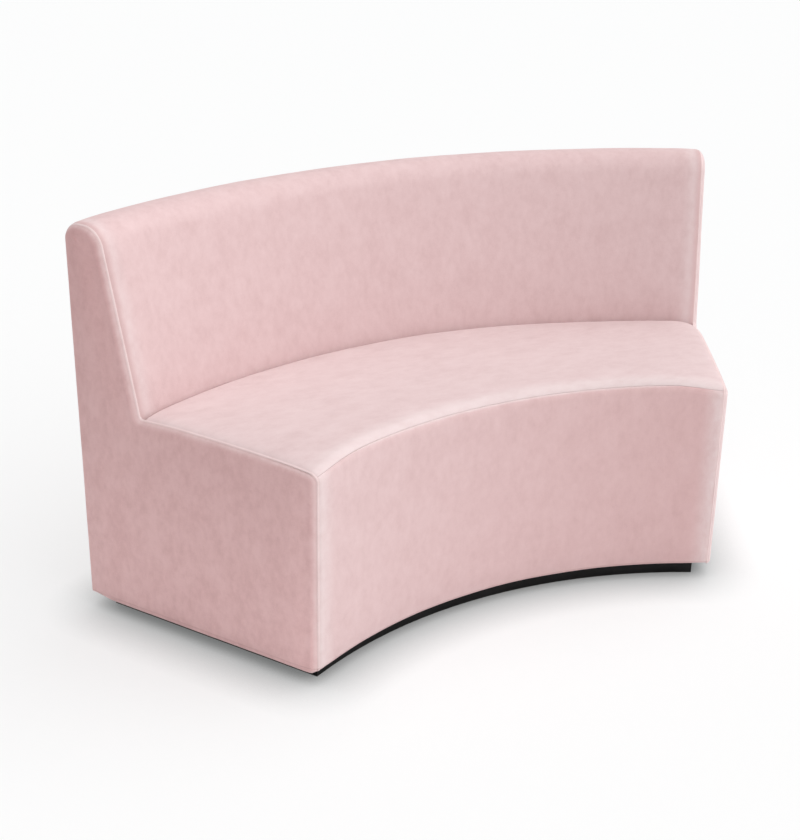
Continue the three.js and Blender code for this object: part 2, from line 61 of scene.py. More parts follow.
ahead = Vector((
    math.sin(camera_yaw) * math.cos(camera_pitch),
    math.cos(camera_yaw) * math.cos(camera_pitch),
    -math.sin(camera_pitch)))
level_right = Vector((math.cos(camera_yaw), -math.sin(camera_yaw), 0))
level_up = level_right.cross(ahead)
camera_right = level_right * math.cos(camera_roll) + level_up * math.sin(camera_roll)
camera_up = level_up * math.cos(camera_roll) - level_right * math.sin(camera_roll)
camera_data = bpy.data.cameras.new("camera")
camera_data.sensor_width = sensor_size
camera_data.lens = focal_pixels * sensor_size / picture_height
camera_data.shift_y = (middle_line_pixel - picture_height / 2) / picture_height
camera = bpy.data.objects.new("camera", camera_data)
camera.matrix_world = (
    Matrix.Translation(camera_place)
    @ Matrix((camera_right, camera_up, -ahead)).transposed().to_4x4())
bpy.context.scene.collection.objects.link(camera)
bpy.context.scene.camera = camera

# Timber frame
# Birch plywood cut to shape, glued and screwed: two end boards and three ribs stand upright, and
# curved rails are let into them. The plies show as fine lines along every cut edge.
end_angle = math.radians(30)
rib_angle = math.radians(15)
ply_thickness = 0.0014
ply_contrast = 0.35
grain_drawn_out = 0.06
grain_shift = 0.37
plywood_rounding = 0.0006
cloud_range = (0.3, 0.7)
pale_birch = (0.62, 0.44, 0.24, 1)
brown_birch = (0.42, 0.26, 0.12, 1)


def feed(tree, socket, value):
    """Gives a socket a link from another one, or a constant"""
    if isinstance(value, bpy.types.NodeSocket):
        tree.links.new(value, socket)
    else:
        socket.default_value = value


def add_node(tree, kind, inputs=None, **settings):
    node = tree.nodes.new(kind)
    for name, value in settings.items():
        setattr(node, name, value)
    for name, value in (inputs or {}).items():
        feed(tree, node.inputs[name], value)
    return node


def calculate(tree, operation, *values):
    return add_node(
        tree, "ShaderNodeMath", dict(enumerate(values)), operation=operation).outputs["Value"]


def calculate_vector(tree, operation, first, second, result="Vector"):
    return add_node(
        tree, "ShaderNodeVectorMath", {0: first, 1: second}, operation=operation).outputs[result]


def weighed(tree, share, first, second):
    """Two values blended, the first by its share and the second by the rest"""
    rest = calculate(tree, "MULTIPLY", second, 1 - share)
    return calculate(tree, "MULTIPLY_ADD", first, share, rest)


def parts(tree, vector):
    """The X, Y and Z of a place or direction"""
    return add_node(tree, "ShaderNodeSeparateXYZ", {"Vector": vector}).outputs


def color_ramp(tree, tone, stops):
    ramp = add_node(tree, "ShaderNodeValToRGB", {"Fac": tone})
    elements = ramp.color_ramp.elements
    for element, (position, color) in zip(elements, (stops[0], stops[-1])):
        element.position = position
        element.color = color
    for position, color in stops[1:-1]:
        elements.new(position).color = color
    return ramp.outputs["Color"]


def mixed(tree, amount, first, second):
    """One color turning into another by an amount from 0 to 1"""
    first_color, second_color, mixed_color = 6, 7, 2
    inputs = {"Factor": amount, first_color: first, second_color: second}
    return add_node(tree, "ShaderNodeMix", inputs, data_type="RGBA").outputs[mixed_color]


def changing(tree, value, start, end, before, after, kind="LINEAR"):
    """A level that turns from one into another while a value rises from the start to the end"""
    return add_node(tree, "ShaderNodeMapRange", {
        "Value": value, "From Min": start, "From Max": end, "To Min": before, "To Max": after},
        interpolation_type=kind).outputs["Result"]


def fading(tree, value, start, end):
    """1 where a value lies before the start, 0 beyond the end and a soft change between"""
    return changing(tree, value, start, end, 1, 0, "SMOOTHSTEP")


def rising(tree, value, start, end):
    """0 where a value lies before the start, 1 beyond the end and a soft change between"""
    return changing(tree, value, start, end, 0, 1, "SMOOTHSTEP")


def new_group(name, **inputs):
    """A group of nodes and the inputs that it is given, each with its kind"""
    group = bpy.data.node_groups.new(name, "ShaderNodeTree")
    for socket, kind in inputs.items():
        group.interface.new_socket(socket, in_out="INPUT", socket_type=f"NodeSocket{kind}")
    return group, group.nodes.new("NodeGroupInput").outputs


def give_results(group, **values):
    """The shades, heights and masks that a group gives"""
    for name in values:
        group.interface.new_socket(name, in_out="OUTPUT", socket_type="NodeSocketFloat")
    leaving = group.nodes.new("NodeGroupOutput")
    for name, value in values.items():
        feed(group, leaving.inputs[name], value)
    return group


def placed_group(tree, group, **inputs):
    return add_node(tree, "ShaderNodeGroup", inputs, node_tree=group).outputs


def cloudy_group():
    """Soft patches of one size, drawn out along an axis: 0.5 on average"""
    group, given = new_group("Cloudy shade", Place="Vector", Size="Float", Stretch="Vector")
    patches = add_node(group, "ShaderNodeTexNoise", {
        "Vector": calculate_vector(group, "DIVIDE", given["Place"], given["Stretch"]),
        "Scale": calculate(group, "DIVIDE", 1.0, given["Size"]),
        "Detail": 3.0, "Roughness": 0.55})
    return give_results(group, Shade=patches.outputs["Fac"])


def plies_group():
    """Wood grain on the face of a sheet and the lines of its plies across the cut edge"""
    group, given = new_group(
        "Plies and grain", Place="Vector", Across="Vector", Along="Vector", Ply="Float")
    aside = calculate_vector(group, "CROSS_PRODUCT", given["Across"], given["Along"])
    along, beside, across = (
        calculate_vector(group, "DOT_PRODUCT", given["Place"], axis, "Value")
        for axis in (given["Along"], aside, given["Across"]))
    layer = calculate(group, "FLOOR", calculate(group, "DIVIDE", across, given["Ply"]))
    odd = calculate(group, "FLOORED_MODULO", layer, 2.0)
    grain_place = add_node(group, "ShaderNodeCombineXYZ", {
        "X": calculate(group, "MULTIPLY", along, grain_drawn_out),
        "Y": beside,
        "Z": calculate(group, "MULTIPLY", layer, grain_shift)})
    grain = add_node(group, "ShaderNodeTexNoise", {
        "Vector": grain_place.outputs["Vector"], "Scale": 160.0, "Detail": 5.0,
        "Roughness": 0.6, "Distortion": 0.4}).outputs["Fac"]
    return give_results(group, Tone=weighed(group, ply_contrast, odd, grain), Height=grain)


cloudy = cloudy_group()
plies = plies_group()


class Finish:
    """A material in the making: its nodes, its shader's sockets and the place on the sofa"""

    def __init__(self, name, **constants):
        self.material = bpy.data.materials.new(name)
        self.material.use_nodes = True
        self.tree = self.material.node_tree
        self.surface = self.tree.nodes["Principled BSDF"].inputs
        for socket, value in constants.items():
            self.surface[socket.replace("_", " ")].default_value = value
        self.place = add_node(self.tree, "ShaderNodeTexCoord").outputs["Object"]

    def clouds(self, size, stretch=(1, 1, 1)):
        return placed_group(self.tree, cloudy, Place=self.place, Size=size, Stretch=stretch)["Shade"]

    def color(self, tone, *stops):
        """The color turns from one stop into the next as a tone rises"""
        feed(self.tree, self.surface["Base Color"], color_ramp(self.tree, tone, stops))

    def roughness(self, tone, least, most):
        """The surface is smoother and rougher in patches"""
        rough = changing(self.tree, tone, *cloud_range, least, most)
        feed(self.tree, self.surface["Roughness"], rough)

    def bump(self, height, depth):
        bump = add_node(self.tree, "ShaderNodeBump", {"Height": height, "Distance": depth})
        feed(self.tree, self.surface["Normal"], bump.outputs["Normal"])


def plywood(name, across, along):
    wood = Finish(name, Roughness=0.62)
    lines = placed_group(
        wood.tree, plies, Place=wood.place, Across=across, Along=along, Ply=ply_thickness)
    wood.color(lines["Tone"], (0.25, pale_birch), (0.75, brown_birch))
    wood.bump(lines["Height"], depth=0.0002)
    return wood


def finish_node(name, finish, rounding):
    """A CAD node keeps its solid and gets a material and finely rounded edges"""
    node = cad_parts[name]
    node.data.materials.clear()
    node.data.materials.append(finish.material)
    bevel = node.modifiers.new("rounded edges", "BEVEL")
    bevel.width = rounding
    bevel.segments = 2
    bevel.limit_method = "ANGLE"


upright_boards = {
    "end_frame_left": -end_angle,
    "end_frame_right": end_angle,
    "rib_1": -rib_angle,
    "rib_2": 0,
    "rib_3": rib_angle,
}
for name, angle in upright_boards.items():
    across = (math.cos(angle), -math.sin(angle), 0)
    finish_node(name, plywood(f"plywood {name}", across, (0, 0, 1)), plywood_rounding)

flat_plywood = plywood("plywood rails", (0, 0, 1), (1, 0, 0))
for name in ("front_low_rail", "rear_low_rail", "front_seat_rail", "rear_seat_rail",
             "rear_middle_rail", "back_top_rail"):
    finish_node(name, flat_plywood, plywood_rounding)

# Bendable boards
# Thin brown fibreboard, bent round the frame and stapled to the rails and ribs, which closes the
# front, the seat back and the outer back. One face is smooth and the fibres show in it as flecks.
board_rounding = 0.0004
dark_fibre = (0.19, 0.10, 0.05, 1)
pale_fibre = (0.33, 0.20, 0.11, 1)

fibreboard = Finish("fibreboard", Roughness=0.72)
flecks = fibreboard.clouds(size=0.003, stretch=(2, 2, 1))
tone = weighed(fibreboard.tree, 0.5, fibreboard.clouds(size=0.12), flecks)
fibreboard.color(tone, (0.35, dark_fibre), (0.65, pale_fibre))
fibreboard.bump(flecks, depth=0.0001)
for name in ("front_panel", "inner_back_panel", "outer_back_panel"):
    finish_node(name, fibreboard, board_rounding)

# Seat webbing
# Elastic bands woven from rubber and polyester, stretched from the front seat rail to the rear
# one. Each end is folded back on itself and stapled, and the middle sags a little.
strap_count = 12
band_thickness = 0.0009
band_fold = 0.028
band_fold_rim = 0.001
band_sag = 0.004
band_ribs = 14
band_rib_height = 0.0002
points_across_rib = 3
band_end_step = 0.004
band_step = 0.012
sharp_edge = math.radians(50)
webbing_black = (0.02, 0.019, 0.018, 1)
webbing_grey = (0.075, 0.07, 0.066, 1)

# The plinth's rear rail stands at a known radius, which gives the place of the ring's axis
plinth_rear_radius = 1.465
axis_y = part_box("plinth_rear_rail")[1].y - plinth_rear_radius


def on_ring(radius, angle, height):
    places_on_ring = (radius * np.sin(angle), axis_y + radius * np.cos(angle), height)
    return np.stack(np.broadcast_arrays(*places_on_ring), axis=-1)


def make_piece(name, points, faces, finish):
    """A closed piece, its faces turned so that they look out"""
    mesh = bpy.data.meshes.new(name)
    mesh.from_pydata([tuple(point) for point in points], [], faces)
    shape = bmesh.new()
    shape.from_mesh(mesh)
    if shape.calc_volume(signed=True) < 0:
        bmesh.ops.reverse_faces(shape, faces=shape.faces)
        shape.to_mesh(mesh)
    shape.free()
    mesh.shade_smooth()
    mesh.set_sharp_from_angle(angle=sharp_edge)
    mesh.materials.append(finish.material)
    piece = bpy.data.objects.new(name, mesh)
    bpy.context.scene.collection.objects.link(piece)
    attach(piece, "root")
    return piece


def grid_faces(rows, columns, start=0, flipped=False):
    """Four-sided faces between the points of a grid that is numbered row by row"""
    faces = []
    for row in range(rows - 1):
        for column in range(columns - 1):
            corner = start + row * columns + column
            face = (corner, corner + 1, corner + columns + 1, corner + columns)
            faces.append(face[::-1] if flipped else face)
    return faces


def thick_sheet(first, second):
    """A closed skin between two grids of points, one for each of its sides"""
    rows, columns = first.shape[:2]
    count = rows * columns
    numbers = np.arange(count).reshape(rows, columns)
    rim = np.concatenate([
        numbers[0], numbers[1:, -1], numbers[-1, -2::-1], numbers[-2:0:-1, 0]]).tolist()
    faces = grid_faces(rows, columns) + grid_faces(rows, columns, count, True)
    for this, following in zip(rim, rim[1:] + rim[:1]):
        faces.append((following, this, this + count, following + count))
    return np.concatenate([first.reshape(-1, 3), second.reshape(-1, 3)]), faces


def weave_group():
    """The height of threads that cross over and under each other"""
    group, given = new_group("Plain weave", Place="Vector", Thread="Float")
    axes = parts(group, given["Place"])
    turns = calculate(group, "DIVIDE", math.pi, given["Thread"])
    waves = [calculate(group, "SINE", calculate(group, "MULTIPLY", axes[axis], turns))
             for axis in ("X", "Y")]
    crossing = calculate(group, "MULTIPLY", *waves)
    return give_results(group, Height=calculate(group, "MULTIPLY_ADD", crossing, 0.5, 0.5))


weave = weave_group()
webbing = Finish("elastic webbing", Roughness=0.8)
threads = placed_group(webbing.tree, weave, Place=webbing.place, Thread=0.0016)
webbing.color(threads["Height"], (0.2, webbing_black), (0.9, webbing_grey))
webbing.bump(threads["Height"], depth=0.0004)


def band_plan(node):
    """Angle, middle radius, length and width of a strap, worked out from its box"""
    low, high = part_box(node)
    middle = (low + high) / 2
    angle = math.atan2(middle.x, middle.y - axis_y)
    radius = math.hypot(middle.x, middle.y - axis_y)
    across, along = abs(math.sin(angle)), math.cos(angle)
    span = high - low
    length = (span.y * along - span.x * across) / (along * along - across * across)
    width = (span.x * along - span.y * across) / (along * along - across * across)
    return angle, radius, length, width, low.z


def band_path(length):
    """From the folded tip at one end, round the fold, along, and back at the other end. Each point
    is a distance along and a level, which is 0 in the band and 1 in the part folded over it"""
    fold = [(band_fold, 1), (band_fold / 2, 1), (band_end_step, 1),
            (band_fold_rim, 0.8), (0, 0.5), (band_fold_rim, 0.15)]
    shares = np.linspace(0, 1, round(length / band_step))[1:-1]
    far_fold = [(length - along, level) for along, level in reversed(fold)]
    return np.array(fold + [(share * length, 0) for share in shares] + far_fold)


def band_sides(angle, radius, length, width, bottom):
    """The two sides of a ribbed band, as grids of points"""
    along, level = band_path(length).T
    sag = band_sag * np.sin(math.pi * along / length) ** 2 * (level == 0)
    way = np.stack([along, bottom + band_thickness * (level + 0.5) - sag], axis=-1)
    travel = np.gradient(way, axis=0)
    travel /= np.linalg.norm(travel, axis=1, keepdims=True)
    normal = np.stack([-travel[:, 1], travel[:, 0]], axis=-1)
    across = np.linspace(-width / 2, width / 2, points_across_rib * band_ribs + 1)
    ribs = band_rib_height * np.cos(2 * math.pi * band_ribs * across / width)
    sides = []
    for side in (-1, 1):
        lift = side * (band_thickness + ribs) / 2
        moved = way[:, None] + normal[:, None] * lift[:, None]
        outward = radius - length / 2 + moved[..., 0]
        x = outward * math.sin(angle) + across * math.cos(angle)
        y = axis_y + outward * math.cos(angle) - across * math.sin(angle)
        sides.append(np.stack([x, y, moved[..., 1]], axis=-1))
    return sides


for number in range(1, strap_count + 1):
    node = f"seat_strap_{number}"
    angle, radius, length, width, bottom = band_plan(node)
    points, faces = thick_sheet(*band_sides(angle, radius, length, width, bottom))
    band = make_piece(f"webbing_band_{number}", points, faces, webbing)
    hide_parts(node)

# Foam
# Polyurethane foam, cut to the section and glued to the boards and over the webbing. Its cut
# edges are rounded by the covers, which press it in a little along every seam.
rear_radius = 1.5
front_radius = 0.935
crevice_radius = 1.345
underside_height = 0.035
seat_front_height = 0.458
crevice_height = 0.454
seat_crown = 0.003
crown_points = 7
total_height = 0.815
top_thickness = 0.086
rear_lean = 0.010
seat_front_rounding = 0.023
top_front_rounding = 0.050
top_rear_rounding = 0.034
front_hem_rounding = 0.006
rear_hem_rounding = 0.014
least_rounding_share = 1 / 8
arc_step = math.radians(6)
cover_thickness = 0.002
layer_gap = 0.0006
front_foam_thickness = 0.020
seat_foam_thickness = 0.095
back_foam_thickness = 0.040
top_foam_thickness = 0.030
end_padding_thickness = 0.009
foam_press = 0.0030
foam_inset = cover_thickness + layer_gap + foam_press
foam_end_inset = cover_thickness + 2 * layer_gap + end_padding_thickness
foam_rounding = 0.008
foam_rear_rounding = 0.023
foam_rear_edge = 0.001
foam_notch_rounding = 0.002
half_rounded = (0.3, 0.29)
foam_step = 0.03
tuck_gap = 0.0018
corner_sink = 0.014
corner_sink_reach = 0.080
corner_sink_fall = 1.3
sink_bottom = 0.362
notch_sink_left = 0.002
notch_sink_right = 0.010
notch_sink_reach = 0.030
notch_sink_width = 0.045
settle_height = 0.0022
settle_reach = 0.045
rear_right_sink = 0.008
rear_right_reach = 0.50
pale_foam = (0.84, 0.76, 0.50, 1)
aged_foam = (0.78, 0.66, 0.38, 1)


def edge(start, end):
    """A straight side of the section, walked clockwise with the body on its right"""
    along = np.subtract(end, start) / np.linalg.norm(np.subtract(end, start))
    return np.array(start, float), along, np.array([along[1], -along[0]])


def meet(first, first_inset, second, second_inset):
    """The corner of two sides, each moved into the body by its own inset"""
    start = first[0] + first[2] * first_inset
    gap = second[0] + second[2] * second_inset - start
    cross = first[1][0] * second[1][1] - first[1][1] * second[1][0]
    run = (gap[0] * second[1][1] - gap[1] * second[1][0]) / cross
    return tuple(start + first[1] * run)


def at_height(side, inset, height):
    """The point of a side, moved into the body, at one height"""
    start = side[0] + side[2] * inset
    return (start[0] + side[1][0] * (height - start[1]) / side[1][1], height)


def corner_arc(before, corner, after):
    """The points of a path round a corner [radius, height, rounding]"""
    here = np.array(corner[:2], float)
    if len(corner) < 3:
        return [here]
    rounding = corner[2]
    back, onward = np.array(before[:2]) - here, np.array(after[:2]) - here
    back /= np.linalg.norm(back)
    onward /= np.linalg.norm(onward)
    opening = math.acos(float(np.clip(back @ onward, -1, 1)))
    reach = rounding / math.tan(opening / 2)
    bisector = (back + onward) / np.linalg.norm(back + onward)
    centre = here + bisector * rounding / math.sin(opening / 2)
    start = here + back * reach - centre
    end = here + onward * reach - centre
    turn = math.atan2(start[0] * end[1] - start[1] * end[0], float(start @ end))
    steps = max(2, math.ceil((math.pi - opening) / arc_step))
    arc = []
    for angle in np.linspace(0, turn, steps + 1):
        cosine, sine = math.cos(angle), math.sin(angle)
        arc.append(centre + (start[0] * cosine - start[1] * sine, start[0] * sine + start[1] * cosine))
    return arc


def rounded(corners):
    """An open path through corners [radius, height, rounding], which are turned into arcs"""
    points = [np.array(corners[0][:2], float)]
    for before, corner, after in zip(corners, corners[1:], corners[2:]):
        points += corner_arc(before, corner, after)
    points.append(np.array(corners[-1][:2], float))
    return np.array(points)


def closed(corners):
    """A closed outline through such corners, which starts halfway along its last side"""
    halfway = tuple((np.array(corners[0][:2]) + corners[-1][:2]) / 2)
    return rounded([halfway, *corners, halfway])[:-1]


front_foot = (front_radius, underside_height)
seat_front = (front_radius, seat_front_height)
crevice = (crevice_radius, crevice_height)
rear_top = (rear_radius + rear_lean, total_height)
back_top = (rear_top[0] - top_thickness, total_height)
rear_foot = (rear_radius, underside_height)
front_side = edge(front_foot, seat_front)
seat_side = edge(seat_front, crevice)
back_side = edge(crevice, back_top)
top_side = edge(back_top, rear_top)
rear_side = edge(rear_top, rear_foot)
under_side = edge(rear_foot, front_foot)


def crown(share):
    """How far the seat rises above a straight line from its front to its rear"""
    return seat_crown * 4 * share * (1 - share)


def crowned(front_point, rear_point):
    """Points of the seat between its front and its rear, raised in the middle"""
    front_point, rear_point = np.array(front_point[:2]), np.array(rear_point[:2])
    shares = np.linspace(0, 1, crown_points + 2)[1:-1]
    return [tuple(front_point + (rear_point - front_point) * share + (0, crown(share)))
            for share in shares]


def places(length, step, fine_start=False, fine_end=False):
    """Distances along a length, evenly spaced, but close together beside a seam"""
    first_step, growth, fine_steps = 0.0003, 1.45, 11
    near = [first_step * (growth ** k - 1) / (growth - 1) for k in range(fine_steps)]
    start = near if fine_start else [0]
    end = near if fine_end else [0]
    middle = length - start[-1] - end[-1]
    count = max(1, math.ceil(middle / step))
    spaced = [start[-1] + middle * k / count for k in range(1, count)]
    return np.array(start + spaced + [length - reach for reach in reversed(end)])


def smooth(share):
    """A soft change from 0 to 1"""
    share = np.clip(share, 0, 1)
    return share ** 2 * (3 - 2 * share)


def settled(points):
    """The seat's front edge and corners sink under the pull of the covers, and the crevice at its
    ends. The rear of the seat has settled more on the right than on the left."""
    points = np.array(points, float)
    back = points[..., 1] - axis_y
    radius = np.hypot(points[..., 0], back)
    from_end = radius * np.sin(end_angle - np.abs(np.arctan2(points[..., 0], back)))
    behind = np.clip((radius - front_radius) / (crevice_radius - front_radius), 0, 1)
    raised = smooth((points[..., 2] - sink_bottom) / (seat_front_height - sink_bottom))
    front = np.exp(-(from_end / corner_sink_reach) ** 2) * (1 - behind) ** corner_sink_fall * raised
    over = np.exp(-(np.maximum(points[..., 2] - crevice_height, 0) / notch_sink_width) ** 2)
    notch = np.exp(-(from_end / notch_sink_reach) ** 2 - (
        (radius - crevice_radius) / notch_sink_width) ** 2)
    notch = notch * np.where(points[..., 0] < 0, notch_sink_left, notch_sink_right)
    rear = rear_right_sink * smooth(points[..., 0] / rear_right_reach) * smooth(behind)
    along_edge = settle_height * np.exp(
        -(np.maximum(radius - front_radius, 0) / settle_reach) ** 2) * raised
    points[..., 2] -= along_edge + corner_sink * front + (notch + rear) * over * raised
    return points


def walked(path, step, fine_start=False, fine_end=False):
    """A path with more points along it, the distance to each and the normal that looks out"""
    least_step = 0.00025
    lengths = np.linalg.norm(np.diff(path, axis=0), axis=1)
    corners = np.concatenate([[0], np.cumsum(lengths)])
    wanted = np.concatenate([corners, places(corners[-1], step, fine_start, fine_end)])
    reach = [0.0]
    for distance in np.sort(wanted):
        if distance - reach[-1] > least_step:
            reach.append(float(distance))
    reach[-1] = float(corners[-1])
    reach = np.array(reach)
    points = np.stack([np.interp(reach, corners, path[:, k]) for k in (0, 1)], axis=-1)
    legs = np.diff(points, axis=0)
    legs /= np.linalg.norm(legs, axis=1, keepdims=True)
    travel = np.concatenate([legs[:1], legs[:-1] + legs[1:], legs[-1:]])
    travel /= np.linalg.norm(travel, axis=1, keepdims=True)
    return points, reach, np.stack([-travel[:, 1], travel[:, 0]], axis=-1)


def angle_at(radius, inset):
    """The angle at which a radius comes to a distance from the sofa's end plane"""
    return end_angle - np.arcsin(inset / radius)


def tube_faces(rings, count, start=0):
    """Faces round a tube of rings, with both ends closed"""
    faces = [tuple(range(start, start + count))]
    for ring in range(rings - 1):
        for k in range(count):
            here = start + ring * count + k
            beside = start + ring * count + (k + 1) % count
            faces.append((here, here + count, beside + count, beside))
    last = start + (rings - 1) * count
    faces.append(tuple(range(last + count - 1, last - 1, -1)))
    return faces


def soft_body(name, outline, step, rounding, finish):
    """A closed section swept round the ring, its end edges rounded off"""
    points, _, normals = walked(np.concatenate([outline, outline[:1]]), step)
    points, normals = points[:-1], normals[:-1]
    left_end = []
    for shrink, inset in ((1, 0), half_rounded, (0, 1)):
        moved = points - normals * rounding * shrink
        left_end.append((moved, -angle_at(moved[:, 0], foam_end_inset + rounding * inset)))
    widest = angle_at(points[:, 0], foam_end_inset + rounding)
    count = math.ceil(2 * float(widest.max()) * rear_radius / step)
    middle = [(points, widest * share) for share in np.linspace(-1, 1, count + 1)[1:-1]]
    right_end = [(moved, -angles) for moved, angles in reversed(left_end)]
    sections = left_end + middle + right_end
    rings = [on_ring(moved[:, 0], angles, moved[:, 1]) for moved, angles in sections]
    return make_piece(
        name, settled(np.concatenate(rings)), tube_faces(len(rings), len(points)), finish)


foam = Finish("polyurethane foam", Roughness=0.95)
pores = add_node(
    foam.tree, "ShaderNodeTexVoronoi", {"Vector": foam.place, "Scale": 900.0}).outputs["Distance"]
tone = weighed(foam.tree, 0.4, pores, foam.clouds(size=0.08))
foam.color(tone, (0.2, aged_foam), (0.8, pale_foam))
foam.bump(pores, depth=0.0008)

foam_bottom = seat_front_height - cover_thickness - layer_gap - seat_foam_thickness
foam_top = total_height - cover_thickness - top_foam_thickness - 2 * layer_gap
seat_foam_rear = -(cover_thickness + layer_gap + tuck_gap)
seat_foam_front_top = meet(front_side, foam_inset, seat_side, foam_inset)
seat_foam_rear_top = meet(seat_side, foam_inset, back_side, seat_foam_rear)
back_foam_rear = foam_inset + back_foam_thickness
front_foam_top = foam_bottom - layer_gap
front_foam_bottom = underside_height + front_hem_rounding + layer_gap
front_foam_rear = front_radius + cover_thickness + layer_gap + front_foam_thickness
foam_outlines = {
    "seat_foam": [
        (front_radius + foam_inset, foam_bottom, foam_rounding),
        (*seat_foam_front_top, seat_front_rounding),
        *crowned(seat_foam_front_top, seat_foam_rear_top),
        (*seat_foam_rear_top, foam_rounding),
        (*at_height(back_side, seat_foam_rear, foam_bottom), foam_rounding),
    ],
    "back_foam": [
        (*meet(back_side, foam_inset, top_side, foam_inset), top_front_rounding),
        (*meet(top_side, foam_inset, rear_side, foam_inset), foam_rear_rounding),
        (*at_height(rear_side, foam_inset, foam_top), foam_rear_edge),
        (*at_height(back_side, back_foam_rear, foam_top), foam_notch_rounding),
        (*at_height(back_side, back_foam_rear, foam_bottom), foam_rounding / 2),
        (*at_height(back_side, foam_inset, foam_bottom), foam_rounding / 2),
    ],
    "front_foam": [
        (*at_height(front_side, foam_inset, front_foam_top), foam_rounding / 2),
        (front_foam_rear, front_foam_top, foam_rounding / 2),
        (front_foam_rear, front_foam_bottom, foam_rounding / 2),
        (front_radius + foam_inset, front_foam_bottom, foam_rounding / 2),
    ],
}
for name, corners in foam_outlines.items():
    block = soft_body(f"{name}_block", closed(corners), foam_step, foam_rounding, foam)
    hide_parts(name)

# Wadding
# Off-white polyester wadding, laid over the boards at the rear and at both ends so that the cover
# lies softly on them. It is held by spray glue and by the cover.
rear_padding_thickness = 0.006
wadding_rounding = 0.0025
wadding_step = 0.03
white_wadding = (0.90, 0.89, 0.86, 1)
grey_wadding = (0.80, 0.79, 0.76, 1)

wadding = Finish("polyester wadding", Roughness=0.95)
tufts = wadding.clouds(size=0.009)
wadding.color(tufts, (0.3, grey_wadding), (0.7, white_wadding))
wadding.bump(tufts, depth=0.002)
wadding_outside = cover_thickness + layer_gap
wadding_inside = wadding_outside + rear_padding_thickness
wadding_bottom = underside_height + rear_hem_rounding + layer_gap
wadding_corners = (
    (wadding_outside, wadding_bottom), (wadding_inside, wadding_bottom),
    (wadding_inside, foam_top), (wadding_outside, foam_top))
rear_wadding_outline = closed([
    (*at_height(rear_side, inset, height), wadding_rounding) for inset, height in wadding_corners])
rear_wadding = soft_body(
    "rear_wadding", rear_wadding_outline, wadding_step, wadding_rounding, wadding)
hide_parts("rear_padding")

# Cover fabric
# Pale pink suede-like cloth with a short pile. Brushed one way and another, the pile leaves soft
# cloudy patches, drawn out upwards on the upright panels, and it lightens where it turns away.

# Each panel has its own tone, its contrast, the side where it is painted paler and the seam that
# it darkens towards, both with a strength. The tones are partly the lie of each panel's pile and
# partly painted light and shade: the seat is paler where the light falls on it, the left end is a
# shaded copy of the cloth, and the ridge is paler as a painted highlight.
panel_looks = {
    "seat": {"tone": (0.722, 0.562, 0.562), "contrast": 1.1,
             "paled_beside": ("On_Covers", 0.05), "groove": ("Covers_Groove", 0.10)},
    "back": {"tone": (0.722, 0.526, 0.526), "contrast": 1.1,
             "paled_beside": ("On_Back", 0.75), "groove": ("Back_Groove", 0.36)},
    "rear": {"tone": (0.730, 0.525, 0.524), "contrast": 1.1,
             "paled_beside": ("On_Back", 0.75), "groove": ("Back_Groove", 0.36)},
    "front": {"tone": (0.702, 0.522, 0.522), "contrast": 1.0,
              "paled_beside": ("On_Covers", 0.80), "groove": ("Covers_Groove", 0.30)},
    # The left end: a copy of the cloth painted deeper and more saturated for the shade it stands in
    "left": {"tone": (0.862, 0.560, 0.556), "contrast": 1.6,
             "paled_beside": ("On_Ends", 0.75), "groove": ("Ends_Groove", 0.15)},
    "right": {"tone": (0.722, 0.526, 0.524), "contrast": 1.1,
              "paled_beside": ("On_Ends", 0.75), "groove": ("Ends_Groove", 0.15)},
    # The ridge: painted paler as a highlight where it stands up into the light, and rubbed
    "ridge": {"tone": (0.810, 0.635, 0.630), "contrast": 1.0,
              "paled_beside": ("On_Ends", 0), "groove": ("Ends_Groove", 0)},
}
# Painted shade: two panels darken along an axis, from a start to an end, by a tint halfway and
# one at the end. The left end darkens towards its top, away from the light off the floor, and the
# front deepens towards the right.
painted_shade_ramps = {
    "left": ("Z", 0, total_height, (0.835, 0.825, 0.825, 1), (0.750, 0.690, 0.690, 1)),
    "front": ("X", -0.50, 0.50, (1.0, 0.945, 0.943, 1), (0.985, 0.875, 0.870, 1)),
}
# Each unevenness of the pile: the size of its patches and its share in the cloth's shade
unevenness = {
    "brushed": (0.038, 0.32),
    "blotches": (0.013, 0.28),
    "nap": (0.0032, 0.10),
    "pile": (0.0011, 0.10),
    "warp": (0.0017, 0.10),
    "weft": (0.0017, 0.10),
}
upright_lie = {"brushed": (1, 1, 1.4), "blotches": (1, 1, 1.4), "warp": (1, 1, 6), "weft": (6, 6, 1)}
level_lie = {"brushed": (1.9, 1, 1), "blotches": (1.9, 1, 1), "warp": (6, 1, 1), "weft": (1, 6, 1)}
shade_spread = 0.13
deeper = (0.940, 0.915, 0.915)
paler = (1.045, 1.070, 1.070)
# Paler pinks beside the seams and along the seat's front edge: rubbed pile, and a painted highlight
# where the rounded cloth turns to the light. The left end's is a copy for its shade.
rubbed_and_highlit_pink = (0.790, 0.665, 0.662, 1)
rubbed_and_highlit_pink_at_shaded_left = (0.800, 0.618, 0.613, 1)
least_paling = 0.6
# Painted shade and dust in the grooves of the seams and along the hem's fold
shaded_groove_pink = (0.560, 0.330, 0.325, 1)
nap_share = 0.6
corner_radius = 0.020
seam_turn = math.radians(58)
ridge_half_width = 0.0022
front_seam_height = 0.450
paling_at_front_edge = 0.80
paling_behind_edge = (0.010, 0.050)
paling_below_edge = (front_seam_height - 0.0075, front_seam_height - 0.0025)
paling_reach_on_covers = 0.046
paling_gap_on_back = 0.022
paling_reach_on_ends = 0.0065
# How far painted shade reaches onto the back's rounded corner, beside its end seams
painted_shade_reach_on_back = 0.016
groove_width = 0.0012
hem_line_height = 0.0405
hem_line_width = 0.0013
hem_line_strength = 0.50


